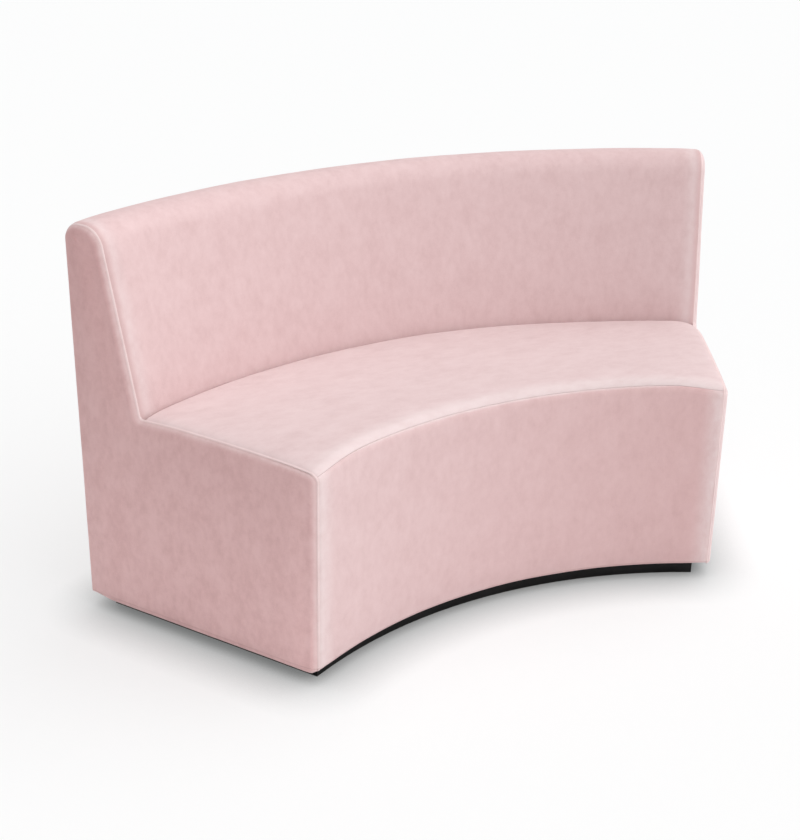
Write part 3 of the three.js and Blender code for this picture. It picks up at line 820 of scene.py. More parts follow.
def corner_point(along, lift):
    """A point on the soft corner between a cover and an end panel, by its distance along from the
    seam: how far it lies in from the end plane, and below the cover's own surface"""
    turn = seam_turn + along / corner_radius
    reach = corner_radius + lift
    return corner_radius - reach * np.cos(turn), corner_radius - reach * np.sin(turn)


cover_start = float(corner_point(ridge_half_width, 0)[0])
end_start = float(corner_point(-ridge_half_width, 0)[0])
groove_end = cover_start + groove_width
paling_on_covers = (groove_end, cover_start + paling_reach_on_covers)
paling_start_on_back = (groove_end, cover_start + paling_gap_on_back)
paling_on_ends = (end_start - paling_reach_on_ends, end_start - groove_width)
painted_shade_on_back = (cover_start, cover_start + painted_shade_reach_on_back)
groove_on_covers = (cover_start, groove_end)
groove_on_ends = (end_start - groove_width, end_start)


def seam_masks_group():
    """Masks for where the cloth is painted paler beside the end seams and along the seat's front
    edge, partly rubbed pile and partly a painted highlight on the rounded cloth, for the painted
    shade in the grooves of the seams and on the back's rounded corner, and for the line of the hem.
    Place is in metres from the middle."""
    group, given = new_group("Beside the seams", Place="Vector")
    axes = parts(group, given["Place"])
    back = calculate(group, "SUBTRACT", axes["Y"], axis_y)
    aside = calculate(group, "ABSOLUTE", axes["X"])
    from_end = calculate(
        group, "SUBTRACT", calculate(group, "MULTIPLY", back, math.sin(end_angle)),
        calculate(group, "MULTIPLY", aside, math.cos(end_angle)))
    radius = calculate(group, "SQRT", calculate(
        group, "ADD", calculate(group, "MULTIPLY", back, back),
        calculate(group, "MULTIPLY", aside, aside)))
    behind = calculate(group, "SUBTRACT", radius, front_radius)
    off_hem = calculate(group, "ABSOLUTE", calculate(group, "SUBTRACT", axes["Z"], hem_line_height))
    on_covers = fading(group, from_end, *paling_on_covers)
    off_seam = rising(group, from_end, *paling_start_on_back)
    return give_results(
        group,
        On_Covers=on_covers,
        On_Back=calculate(group, "MULTIPLY", on_covers, off_seam),
        On_Ends=rising(group, from_end, *paling_on_ends),
        Front_Edge=fading(group, behind, *paling_behind_edge),
        Above_Seam=rising(group, axes["Z"], *paling_below_edge),
        Hem_Line=fading(group, off_hem, 0, hem_line_width),
        Covers_Groove=fading(group, from_end, *groove_on_covers),
        Back_Groove=fading(group, from_end, *painted_shade_on_back),
        Ends_Groove=rising(group, from_end, *groove_on_ends))


seam_masks = seam_masks_group()


def tinted(tone, tint):
    return (*(part * share for part, share in zip(tone, tint)), 1)


def darkened(suede, color, axis, start, end, halfway, last):
    """The color, darkened along one axis of the sofa by painted shade"""
    along = changing(suede.tree, parts(suede.tree, suede.place)[axis], start, end, 0, 1)
    darkening = color_ramp(suede.tree, along, [(0, (1, 1, 1, 1)), (0.5, halfway), (1, last)])
    return calculate_vector(suede.tree, "MULTIPLY", color, darkening)


def paled_and_shaded(suede, color, panel, blotches, masks, paled_beside, groove):
    """The color, painted paler beside the seams and along the front edge for rubbed pile and a
    highlight, and painted darker in the grooves and along the hem for their shade and dust
    """
    tree = suede.tree
    front_edge = calculate(tree, "MULTIPLY", masks["Front_Edge"], paling_at_front_edge)
    if panel != "seat":
        front_edge = calculate(tree, "MULTIPLY", front_edge, masks["Above_Seam"])
    # Paler beside the seams and along the front edge: rubbed pile and a painted highlight
    beside = calculate(tree, "MULTIPLY", masks[paled_beside[0]], paled_beside[1])
    patchy = changing(tree, blotches, *cloud_range, least_paling, 1)
    paling = calculate(tree, "MULTIPLY", calculate(tree, "MAXIMUM", front_edge, beside), patchy)
    color = mixed(tree, paling, color, rubbed_and_highlit_pink_at_shaded_left if panel == "left" else rubbed_and_highlit_pink)
    # Darker in the hem's fold and in the seams' grooves: painted shade and dust
    hem_line = calculate(tree, "MULTIPLY", masks["Hem_Line"], hem_line_strength)
    seam_line = calculate(tree, "MULTIPLY", masks[groove[0]], groove[1])
    return mixed(tree, calculate(tree, "MAXIMUM", hem_line, seam_line), color, shaded_groove_pink)


def suede_cloth(panel, tone, contrast, paled_beside, groove):
    """The cloth of one kind of panel"""
    suede = Finish(
        f"pale pink suede {panel}", Roughness=0.9, Specular_IOR_Level=0.3, Sheen_Weight=0.25,
        Sheen_Roughness=0.45, Sheen_Tint=(1.0, 0.90, 0.89, 1))
    tree = suede.tree
    lie = level_lie if panel == "seat" else upright_lie
    shades = {}
    shade = 0.0
    for kind, (size, share) in unevenness.items():
        shades[kind] = suede.clouds(size, lie.get(kind, (1, 1, 1)))
        shade = calculate(tree, "MULTIPLY_ADD", shades[kind], share, shade)
    spread = shade_spread / contrast
    color = color_ramp(tree, shade, [
        (0.5 - spread, tinted(tone, deeper)), (0.5, (*tone, 1)), (0.5 + spread, tinted(tone, paler))])
    # Painted shade along an axis, on the left end and on the front
    if panel in painted_shade_ramps:
        color = darkened(suede, color, *painted_shade_ramps[panel])
    masks = placed_group(tree, seam_masks, Place=suede.place)
    color = paled_and_shaded(suede, color, panel, shades["blotches"], masks, paled_beside, groove)
    feed(tree, suede.surface["Base Color"], color)
    suede.roughness(shades["nap"], least=0.84, most=0.96)
    height = weighed(tree, nap_share, shades["nap"], shades["pile"])
    suede.bump(calculate(tree, "SUBTRACT", height, masks["Hem_Line"]), depth=0.0004)
    return suede


suedes = {panel: suede_cloth(panel, **look) for panel, look in panel_looks.items()}

# Front, seat, back and rear covers
# Four panels of the cloth, sewn to each other under the seat's front edge and behind the top, and
# to the end seams. They are pulled tight over the foam, tucked in at the crevice and stapled under.
# Blender's cloth simulation blows each one up a little between its seams, as the foam does.
hem_width = 0.040
tuck_depth = 0.050
rear_seam_height = 0.772
seam_half_gap = 0.00014
crevice_rounding = 0.006
crevice_gap = 0.0040
path_step = 0.009
arc_step_length = 0.014
fine_zone = 0.026
seam_dip = 0.00045
seam_dip_reach = 0.0009
pull_depth = 0.0008
pull_reach = 0.009
end_dip = 0.00004
end_dip_reach = 0.0008
end_pull_depth = 0.0014
end_pull_reach = 0.030
under_softness = 0.15
rear_softness = 0.5
tuck_fade_start = 0.018
tuck_fade = 0.012
tuck_width = 0.02
facing_down_below = -0.5
foam_pressure = 4.0
cloth_stiffness = 40.0
cloth_bending = 5.0
cloth_step = 0.022
least_cloth_rows = 4
cover_swelling = 0.003
simulated_frames = 20
wide_wave = 0.00055
wide_wave_size = np.array([0.13, 0.13, 0.17])
narrow_wave = 0.00018
narrow_wave_size = np.array([0.045, 0.045, 0.06])
narrow_wave_shift = np.array([7, 0, 0])

front_hem = [(front_radius + hem_width, underside_height), (*front_foot, front_hem_rounding)]
front_and_seat = [*front_hem, (*seat_front, seat_front_rounding), *crowned(seat_front, crevice)]
back_and_top = [(*back_top, top_front_rounding), (*rear_top, top_rear_rounding)]
rear_hem = [(*rear_foot, rear_hem_rounding), (rear_radius - hem_width, underside_height)]


def cut_at(path, height):
    """The parts of a path below and above the seam where it first climbs past a height"""
    count = int(np.argmax(path[:, 1] > height))
    before, after = path[count - 1], path[count]
    ends = [before + (after - before) * (level - before[1]) / (after[1] - before[1])
            for level in (height - seam_half_gap, height + seam_half_gap)]
    return np.vstack([path[:count], ends[0]]), np.vstack([ends[1], path[count:]])


front_path, seat_path = cut_at(rounded([
    *front_and_seat,
    (*meet(seat_side, 0, back_side, -crevice_gap), crevice_rounding),
    at_height(back_side, -crevice_gap, crevice_height - tuck_depth),
]), front_seam_height)
back_path = rounded([
    at_height(back_side, 0, crevice_height - tuck_depth),
    *back_and_top,
    at_height(rear_side, 0, rear_seam_height + seam_half_gap),
])
rear_path = rounded([at_height(rear_side, 0, rear_seam_height - seam_half_gap), *rear_hem])


def seam_pull(distance):
    """How far a panel is drawn in beside a seam"""
    return -seam_dip * np.exp(-distance / seam_dip_reach) - pull_depth * np.exp(
        -distance / pull_reach)


def end_pull(distance):
    """The same beside an end seam, whose ridge fills the groove"""
    return -end_dip * np.exp(-distance / end_dip_reach) - end_pull_depth * np.exp(
        -(distance / end_pull_reach) ** 2)


def corner_drop(from_end):
    """How far the soft corner takes a cover down, at a distance in from the end plane"""
    short = np.maximum(corner_radius - from_end, 0)
    return corner_radius - np.sqrt(corner_radius ** 2 - short ** 2)


def corner_share(normals):
    """The corner is soft where the covers face front or up, and tighter at the hem and behind"""
    return (1 - (1 - under_softness) * np.clip(-normals[..., 1], 0, 1) ** 2
            - (1 - rear_softness) * np.clip(normals[..., 0], 0, 1) ** 2)


def soft_waves(points):
    """The slight unevenness of tight cloth over foam"""
    waves = []
    for point in points.reshape(-1, 3):
        wide = noise.noise(Vector(point / wide_wave_size))
        narrow = noise.noise(Vector(point / narrow_wave_size + narrow_wave_shift))
        waves.append(wide_wave * wide + narrow_wave * narrow)
    return np.array(waves).reshape(points.shape[:-1])


class Panel:
    """A cover panel: rows of points along its path, columns round the ring from end to end"""

    def __init__(self, path, sewn_start, sewn_end):
        self.points, self.reach, self.normals = walked(path, path_step, sewn_start, sewn_end)
        radius = self.points[:, 0]
        near = places(2 * fine_zone, fine_zone, True)
        left = [-angle_at(radius, cover_start + gap) for gap in near[near <= fine_zone]]
        inner = angle_at(radius, cover_start + fine_zone)
        count = math.ceil(2 * float(inner.max()) * float(radius.max()) / arc_step_length)
        middle = [inner * share for share in np.linspace(-1, 1, count + 1)]
        right = [-angles for angles in reversed(left)]
        self.angles = np.stack(left + middle + right, axis=-1)
        full = angle_at(radius, cover_start)[:, None]
        self.end_gap = radius[:, None] * (full - np.abs(self.angles))

    def surface(self, lift):
        moved = self.points[:, None] + self.normals[:, None] * np.expand_dims(lift, -1)
        return on_ring(moved[..., 0], self.angles, moved[..., 1])


def spline(known, values, wanted):
    """Smooth curves through values that are known at some places, along the first axis"""
    gaps = np.diff(known)
    last = len(known) - 1
    system = np.eye(last + 1)
    right = np.zeros_like(values)
    for k in range(1, last):
        system[k, k - 1:k + 2] = gaps[k - 1], 2 * (gaps[k - 1] + gaps[k]), gaps[k]
        slopes = (values[k + 1] - values[k]) / gaps[k], (values[k] - values[k - 1]) / gaps[k - 1]
        right[k] = 6 * (slopes[0] - slopes[1])
    bends = np.linalg.solve(system, right)
    k = np.clip(np.searchsorted(known, wanted) - 1, 0, last - 1)
    after = ((wanted - known[k]) / gaps[k])[:, None]
    before = 1 - after
    curved = (before ** 3 - before) * bends[k] + (after ** 3 - after) * bends[k + 1]
    return before * values[k] + after * values[k + 1] + curved * (gaps[k] ** 2)[:, None] / 6


def spaced_rows(places_along):
    """Numbers of the points that lie about a cloth step apart, with the first and the last"""
    first, last = places_along[0], places_along[-1]
    wanted = np.linspace(first, last, max(least_cloth_rows, round((last - first) / cloth_step) + 1))
    return np.unique([int(np.argmin(np.abs(places_along - place))) for place in wanted])


def blown(points, faces, held):
    """How far cloth moves off the foam that presses on it from inside, held at some points"""
    mesh = bpy.data.meshes.new("cloth")
    mesh.from_pydata([tuple(point) for point in points], [], faces)
    cloth = bpy.data.objects.new("cloth", mesh)
    bpy.context.scene.collection.objects.link(cloth)
    group = cloth.vertex_groups.new(name="held")
    group.add([int(number) for number in held], 1, "REPLACE")
    settings = cloth.modifiers.new("cloth", "CLOTH").settings
    settings.vertex_group_mass = "held"
    settings.use_pressure = True
    settings.uniform_pressure_force = foam_pressure
    settings.effector_weights.gravity = 0
    settings.tension_stiffness = cloth_stiffness
    settings.compression_stiffness = cloth_stiffness
    settings.shear_stiffness = cloth_stiffness
    settings.bending_stiffness = cloth_bending
    for number in range(1, simulated_frames + 1):
        bpy.context.scene.frame_set(number)
    result = cloth.evaluated_get(bpy.context.evaluated_depsgraph_get()).data
    moved = np.array([vertex.co for vertex in result.vertices]) - points
    normals = np.array([vertex.normal for vertex in mesh.vertices])
    bpy.context.scene.frame_set(1)
    bpy.data.objects.remove(cloth)
    return cover_swelling * np.tanh((moved * normals).sum(axis=1) / cover_swelling)


def blown_panel(panel, lift):
    """The swelling of a whole cover between its seams, worked out on a coarse copy of it"""
    middle = len(panel.points) // 2
    round_ring = panel.angles[middle] * panel.points[middle, 0]
    rows = spaced_rows(panel.reach)
    columns = spaced_rows(round_ring)
    coarse = panel.surface(lift)[rows][:, columns]
    numbers = np.arange(len(rows) * len(columns)).reshape(len(rows), len(columns))
    facing_down = panel.normals[rows, 1] < facing_down_below
    in_tuck = (np.abs(panel.points[rows, 0] - crevice_radius) < tuck_width) & (
        panel.points[rows, 1] < crevice_height)
    held = np.concatenate([numbers[0], numbers[-1], numbers[:, 0], numbers[:, -1],
                           numbers[facing_down | in_tuck].ravel()])
    faces = grid_faces(len(rows), len(columns), flipped=True)
    swelling = blown(coarse.reshape(-1, 3), faces, np.unique(held))
    swelling = swelling.reshape(len(rows), len(columns))
    along = spline(panel.reach[rows], swelling, panel.reach)
    return spline(round_ring[columns], along.T, round_ring).T


def cover_piece(name, path, sewn_start, sewn_end, tucked):
    """A cover, its flat size along and across its path, and its flat area"""
    panel = Panel(path, sewn_start, sewn_end)
    share = corner_share(panel.normals)
    if tucked:
        above = panel.points[:, 1] - crevice_height + tuck_fade_start
        share = np.clip(above / tuck_fade, 0, 1)
    lift = end_pull(panel.end_gap)
    lift = lift - corner_drop(panel.end_gap + cover_start) * share[:, None]
    reach = panel.reach[:, None]
    if sewn_start:
        lift = lift + seam_pull(reach)
    if sewn_end:
        lift = lift + seam_pull(panel.reach[-1] - reach)
    lift = lift + blown_panel(panel, lift)
    lift = lift + soft_waves(panel.surface(np.zeros_like(lift)))
    points, faces = thick_sheet(panel.surface(lift - cover_thickness), panel.surface(lift))
    piece = make_piece(f"{name}_cover_cloth", settled(points), faces, suedes[name])
    arcs = np.abs(panel.angles[:, -1] - panel.angles[:, 0]) * panel.points[:, 0]
    area = float(((arcs[1:] + arcs[:-1]) / 2 * np.diff(panel.reach)).sum())
    return piece, (float(panel.reach[-1]), float(arcs.max())), area


# Each panel's path, whether it is sewn at its start and at its end, whether it is tucked into the
# crevice, and the piece that it rests on
cover_plans = {
    "front": (front_path, False, True, False, "front_foam_block"),
    "seat": (seat_path, True, False, True, "seat_foam_block"),
    "back": (back_path, False, True, True, "back_foam_block"),
    "rear": (rear_path, True, False, False, "rear_wadding"),
}
for name, (*plan, support) in cover_plans.items():
    piece, flat, area = cover_piece(name, *plan)
    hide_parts(f"{name}_cover")

# End panels
# One piece of the cloth at each end, cut to the section of the sofa. It swells over its wadding,
# turns over the soft corner all round and is sewn into the end seam.
end_bulge = 0.0042
bulge_reach = 0.024
bulge_steps = (0.003, 0.006, 0.010, 0.015, 0.020)
corner_step = 0.0035
end_fill_step = 0.012
rim_clearance = 0.6 * end_fill_step
straight_step = 0.012
crevice_seam_rounding = 0.004
end_hem_drop = 0.010
hem_rise_behind = 0.10
hem_rise_in_front = 0.025
no_division_by_zero = 1e-12
merging_distance = 1e-7

# The sides of the section in turn, each with the rounding of the corner that it starts at
section_sides = {
    "front": (front_side, front_hem_rounding),
    "seat": (seat_side, seat_front_rounding),
    "back": (back_side, crevice_seam_rounding),
    "top": (top_side, top_front_rounding),
    "rear": (rear_side, top_rear_rounding),
    "under": (under_side, rear_hem_rounding),
}


def rounding_inside(rounding, inset):
    return max(rounding - inset, rounding * least_rounding_share)


def top_rear_arc(inset):
    """The round corner behind the top, drawn in as far as the cover beside it is"""
    arc = np.array(corner_arc(back_top, (*rear_top, top_rear_rounding), rear_foot))
    centre = arc[0] - np.array([0, top_rear_rounding])
    outward = (arc - centre) / top_rear_rounding
    drawn = corner_share(outward) * min(inset, corner_radius) + max(inset - corner_radius, 0)
    return centre + outward * np.maximum(
        top_rear_rounding - drawn, top_rear_rounding * least_rounding_share)[:, None]


def hem_drop(inset, share):
    """How far an end panel hangs below the section, at a share of the way from rear to front"""
    hung = smooth(share / hem_rise_behind) * smooth((1 - share) / hem_rise_in_front)
    return end_hem_drop * math.exp(-(inset / corner_radius) ** 2) * hung


def section_loop(inset):
    """The outline of the whole section at an inset, with as many points at every inset"""
    insets = dict.fromkeys(section_sides, inset)
    insets["under"] = inset * under_softness
    insets["rear"] = min(inset, corner_radius) * rear_softness + max(inset - corner_radius, 0)
    names = list(section_sides)
    corners = []
    for before, name in zip(names[-1:] + names, names):
        side, rounding = section_sides[name]
        corner = meet(section_sides[before][0], insets[before], side, insets[name])
        # The crevice, where the back starts, is the one hollow corner
        corners.append((*corner, rounding_inside(rounding, -inset if name == "back" else inset)))
    arcs = [corner_arc(*three) for three in zip(
        corners[-1:] + corners, corners, corners[1:] + corners[:1])]
    arcs[names.index("rear")] = top_rear_arc(inset)
    points = []
    for k, name in enumerate(names):
        following = (k + 1) % len(names)
        start, end = arcs[k][-1], arcs[following][0]
        length = math.dist(section_sides[name][0][0], section_sides[names[following]][0][0])
        points.extend(arcs[k])
        for share in np.linspace(0, 1, round(length / straight_step) + 1)[1:-1]:
            rise = {"seat": crown(share), "under": -hem_drop(inset, share)}.get(name, 0)
            points.append(start + (end - start) * share + (0, rise))
    return np.array(points)


def end_place(side, section, inward):
    """Points of the section at distances in from an end plane, a bulge having a negative one"""
    radius = section[:, 0]
    return on_ring(radius, side * angle_at(radius, inward), section[:, 1])


def swell(distance):
    """How far an end panel bulges at a distance in from its corner"""
    return end_bulge * (1 - np.exp(-(distance / bulge_reach) ** 2))


def distance_to(loop, points):
    starts, ends = loop, np.roll(loop, -1, axis=0)
    along = ends - starts
    gap = points[:, None, :] - starts[None]
    share = np.clip((gap * along).sum(-1) / (along * along).sum(-1), 0, 1)
    return np.linalg.norm(gap - share[..., None] * along, axis=-1).min(axis=1)


def inside_loop(loop, points):
    x, y = points[:, 0][:, None], points[:, 1][:, None]
    x0, y0 = loop[:, 0], loop[:, 1]
    x1, y1 = np.roll(x0, -1), np.roll(y0, -1)
    crossing = (x1 - x0) * (y - y0) / (y1 - y0 + no_division_by_zero) + x0
    crosses = ((y0 > y) != (y1 > y)) & (x < crossing)
    return crosses.sum(axis=1) % 2 == 1


def end_rings(depth, start):
    """Rings of an end panel from its seam inwards, each an inset and a distance from the plane"""
    rings = []
    corner_end = corner_radius * seam_turn
    for distance in places(corner_end - start, corner_step, True):
        inward, inset = corner_point(-start - distance, end_pull(np.array(distance)) - depth)
        rings.append((float(inset), float(inward)))
    edge_pull = end_pull(np.array(corner_end - start))
    for step in bulge_steps:
        pulled = edge_pull * np.exp(-(step / end_pull_reach) ** 2)
        rings.append((corner_radius + step, float(depth - swell(step) - pulled)))
    return rings


def end_skin(side, rings, inward_at):
    """A skin over one end: rings of the section and a filling whose depth goes by its distance"""
    loops = [section_loop(inset) for inset, _ in rings]
    rim = loops[-1]
    low, high = rim.min(axis=0), rim.max(axis=0)
    grid = np.stack(np.meshgrid(np.arange(low[0], high[0], end_fill_step),
                                np.arange(low[1], high[1], end_fill_step)), axis=-1).reshape(-1, 2)
    grid = grid[inside_loop(rim, grid)]
    grid = grid[distance_to(rim, grid) > rim_clearance]
    count = len(rim)
    filling = delaunay_2d_cdt(
        [Vector(point) for point in np.vstack([rim, grid])], [], [list(range(count))], 1,
        merging_distance)[2]
    faces = []
    for ring in range(len(loops) - 1):
        for k in range(count):
            here, beside = ring * count + k, ring * count + (k + 1) % count
            faces.append((here, beside, beside + count, here + count))
    start = (len(loops) - 1) * count
    faces += [tuple(start + corner for corner in face) for face in filling]
    points = [end_place(side, loop, inward) for loop, (_, inward) in zip(loops, rings)]
    points.append(end_place(side, grid, inward_at(distance_to(rim, grid) + rings[-1][0])))
    points = np.vstack(points)
    outward = side * np.array([math.cos(end_angle), -side * math.sin(end_angle), 0])
    return points + outward * soft_waves(points)[:, None], faces, count


def end_piece(name, outer, inner, finish):
    """A closed piece between an outer and an inner skin of one end"""
    points, faces, count = outer
    total = len(points)
    faces = faces + [tuple(corner + total for corner in face[::-1]) for face in inner[1]]
    for k in range(count):
        beside = (k + 1) % count
        faces.append((k, k + total, beside + total, beside))
    return make_piece(name, settled(np.vstack([points, inner[0]])), faces, finish)


def swollen_skin(side, depth, start):
    """A skin under an end panel's outside by a depth, and the rings that it starts with"""
    rings = end_rings(depth, start)
    return end_skin(side, rings, lambda inset: depth - swell(inset - corner_radius)), rings


ends = ((-1, "left"), (1, "right"))
for side, end in ends:
    skins = [swollen_skin(side, depth, ridge_half_width)[0] for depth in (0, cover_thickness)]
    piece = end_piece(f"end_cover_{end}_cloth", *skins, suedes[end])
    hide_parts(f"end_cover_{end}")

# End wadding
# The same wadding under each end panel, sprayed with glue to the end board. It is as thick as a
# finger in the middle and thins out over the edge of the board.
wadding_edge = 0.005
wadding_taper = 0.002
end_wadding_back = cover_thickness + layer_gap + end_padding_thickness

for side, end in ends:
    front, rings = swollen_skin(side, cover_thickness + layer_gap, wadding_edge)
    flat_rings = [(rings[0][0] + wadding_taper, end_wadding_back), (rings[-1][0], end_wadding_back)]
    back = end_skin(side, flat_rings, lambda inset: np.full(len(inset), end_wadding_back))
    piece = end_piece(f"end_wadding_{end}", front, back, wadding)
    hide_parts(f"end_padding_{end}")

outline = section_loop(0)

# End seams
# The covers and the end panel are lapped and sewn together over a thin cord, so that the seam
# stands up as a fine ridge with a row of stitches along each side.
ridge_height = 0.0006
ridge_base = 0.0013
ridge_overlap = 0.0002
ridge_turns = 12
seam_step = 0.005
stitch_pitch = 0.0042
stitch_length = 0.0032
stitch_radius = 0.00032
stitch_row = 0.0033
stitch_turns = 6
stitch_bed = 0.4 * stitch_radius
thread_shade = (0.70, 0.50, 0.49, 1)
thread_light = (0.82, 0.66, 0.65, 1)
# Along a stitch: shares of its length from its middle, and of its radius
stitch_shape = np.array([(-0.5, 0.3), (-0.42, 0.85), (0, 1), (0.42, 0.85), (0.5, 0.3)])

seam_points, seam_reach, seam_normals = walked(rounded([
    *front_and_seat, (*crevice, crevice_seam_rounding), *back_and_top, *rear_hem]), seam_step)


def seam_place(side, distance, along, lift):
    """A point by its distance along the seam, its distance across it and its height over it"""
    point = [np.interp(distance, seam_reach, seam_points[:, k]) for k in (0, 1)]
    normal = np.stack([np.interp(distance, seam_reach, seam_normals[:, k]) for k in (0, 1)], -1)
    inward, inset = corner_point(along, lift)
    inset = inset * corner_share(normal)
    radius = point[0] - normal[..., 0] * inset
    height = point[1] - normal[..., 1] * inset
    return settled(on_ring(radius, side * angle_at(radius, inward), height))


def ridge_piece(name, side):
    turns = np.linspace(0, 2 * math.pi, ridge_turns, endpoint=False)
    along = (ridge_half_width + ridge_overlap) * np.cos(turns)
    lift = np.where(np.sin(turns) > 0, ridge_height, ridge_base) * np.sin(turns) - end_pull_depth
    points = seam_place(side, seam_reach[:, None], along[None], lift[None])
    faces = tube_faces(len(seam_reach), ridge_turns)
    return make_piece(name, points.reshape(-1, 3), faces, suedes["ridge"])


def stitches_piece(name, side):
    """Short rounded stitches, one after the other along both sides of the ridge"""
    turns = np.linspace(0, 2 * math.pi, stitch_turns, endpoint=False)
    lengthwise = np.repeat(stitch_shape[:, 0] * stitch_length, stitch_turns)
    aside = np.outer(stitch_shape[:, 1] * stitch_radius, np.cos(turns)).ravel()
    upward = np.outer(stitch_shape[:, 1] * stitch_radius, np.sin(turns)).ravel()
    bed = float(end_pull(np.array(stitch_row - ridge_half_width))) + stitch_bed
    points, faces = [], []
    for row in (-stitch_row, stitch_row):
        for start in np.arange(stitch_pitch, seam_reach[-1] - stitch_pitch, stitch_pitch):
            faces += tube_faces(len(stitch_shape), stitch_turns, len(points) * len(aside))
            points.append(seam_place(side, start + lengthwise, row + aside, bed + upward))
    return make_piece(name, np.concatenate(points), faces, thread)


thread = Finish("pink thread", Roughness=0.55)
twist = add_node(thread.tree, "ShaderNodeTexNoise", {
    "Vector": thread.place, "Scale": 2600.0, "Detail": 2.0}).outputs["Fac"]
thread.color(twist, (0.3, thread_shade), (0.7, thread_light))
thread.bump(twist, depth=0.0001)
for side, end in ends:
    ridge = ridge_piece(f"end_seam_{end}_ridge", side)
    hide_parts(f"end_seam_{end}")
    stitches = stitches_piece(f"end_seam_{end}_stitches", side)

# Underside lining
# Thin black non-woven cloth that keeps dust out of the frame, stapled up under it along the curved
# edges. It hangs a little between the plinth's rails.
lining_thickness = 0.0005
lining_edge_gap = 0.0006
lining_end_inset = 0.0103
lining_rows = 24
lining_columns = 70
lining_sag = 0.0025
lining_waves_share = 3 / 7
front_rail_rear = 0.981
rear_rail_front = 1.447
black_lining = (0.008, 0.008, 0.009, 1)
grey_lining = (0.028, 0.028, 0.030, 1)

lining_cloth = Finish("black dust lining", Roughness=0.92)
pressed = placed_group(lining_cloth.tree, weave, Place=lining_cloth.place, Thread=0.0012)
fibres = lining_cloth.clouds(size=0.0016, stretch=(1, 3, 1))
tone = weighed(lining_cloth.tree, 0.7, fibres, pressed["Height"])
lining_cloth.color(tone, (0.3, black_lining), (0.75, grey_lining))
lining_cloth.bump(tone, depth=0.0002)

lining_low, lining_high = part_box("underside_lining")
lining_edges = (front_radius + hem_width + lining_edge_gap, rear_radius - hem_width - lining_edge_gap)
lining_radii = np.linspace(*lining_edges, lining_rows)
lining_angles = angle_at(lining_radii, lining_end_inset)[:, None] * np.linspace(-1, 1, lining_columns)
cross_low, cross_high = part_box("plinth_cross_rail_left")
cross_angle = abs(math.atan2(cross_low.x + cross_high.x, cross_low.y + cross_high.y - 2 * axis_y))
bays = ((-end_angle, -cross_angle), (-cross_angle, cross_angle), (cross_angle, end_angle))
depthwise = np.clip((lining_radii - front_rail_rear) / (rear_rail_front - front_rail_rear), 0, 1)
sag = np.zeros_like(lining_angles)
for first, last in bays:
    along = np.clip((lining_angles - first) / (last - first), 0, 1)
    sag += lining_sag * (np.sin(math.pi * depthwise)[:, None] * np.sin(math.pi * along)) ** 2
below = on_ring(lining_radii[:, None], lining_angles, lining_low.z + lining_edge_gap - sag)
below[..., 2] += soft_waves(below) * lining_waves_share
points, faces = thick_sheet(below, below + np.array([0, 0, lining_thickness]))
lining_sheet = make_piece("dust_lining", points, faces, lining_cloth)
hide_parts("underside_lining")

# Staples
# Zinc-plated steel wire bent into staples, which are shot up through the lining into the low rails
# in a row along each curved edge, so that only their crowns show.
staple_pitch = 0.045
staple_length = 0.010
staple_wire = 0.0007
staple_edge = 0.007
staple_end_gap = 0.04
leg_thinning = 0.6
dull_zinc = (0.45, 0.45, 0.46, 1)
bright_zinc = (0.70, 0.70, 0.71, 1)
# From one leg's tip over the crown to the other: shares of the length, and heights in wire widths
leg_share = 0.5
staple_way = [(-0.5, 2.5), (-0.5, 0.4), (-0.44, -0.3), (0.44, -0.3), (0.5, 0.4), (0.5, 2.5)]
wire_corners = [(0.5, 0.5), (-0.5, 0.5), (-0.5, -0.5), (0.5, -0.5)]


def staple_points(radius, angle):
    """Rings of four points round the wire, from one leg's tip over the crown to the other's"""
    points = []
    for share, rise in staple_way:
        in_crown = abs(share) < leg_share
        for wide, high in wire_corners:
            upward = high if in_crown else 0
            inward = 0 if in_crown else high * leg_thinning * np.sign(share)
            turned = angle + (share * staple_length - inward * staple_wire) / radius
            height = lining_low.z + (rise + upward) * staple_wire
            points.append(on_ring(radius + wide * staple_wire, turned, height))
    return points


staple_steel = Finish("staple wire", Metallic=1.0, Roughness=0.35)
staple_steel.color(staple_steel.clouds(size=0.004), (0.3, dull_zinc), (0.7, bright_zinc))
points, faces = [], []
for radius in (lining_edges[0] + staple_edge, lining_edges[1] - staple_edge):
    reach = float(angle_at(radius, staple_end_gap))
    for angle in np.linspace(-reach, reach, round(2 * reach * radius / staple_pitch)):
        faces += tube_faces(len(staple_way), len(wire_corners), len(points))
        points += staple_points(radius, angle)
staples = make_piece("lining_staples", points, faces, staple_steel)

# Plinth
# Rails of painted plywood stand on the floor, with bare plywood blocks glued into the corners. The
# paint is satin black, a little dusty, and rubbed through in specks along the floor.
plinth_rounding = 0.0012
block_rounding = 0.0008
paint_black = (0.0050, 0.0050, 0.0052, 1)
paint_grey = (0.0100, 0.0100, 0.0103, 1)
rubbed_grey = (0.09, 0.085, 0.078, 1)
rubbed_height = 0.004
rubbed_share = 0.22
speck_level = 0.72

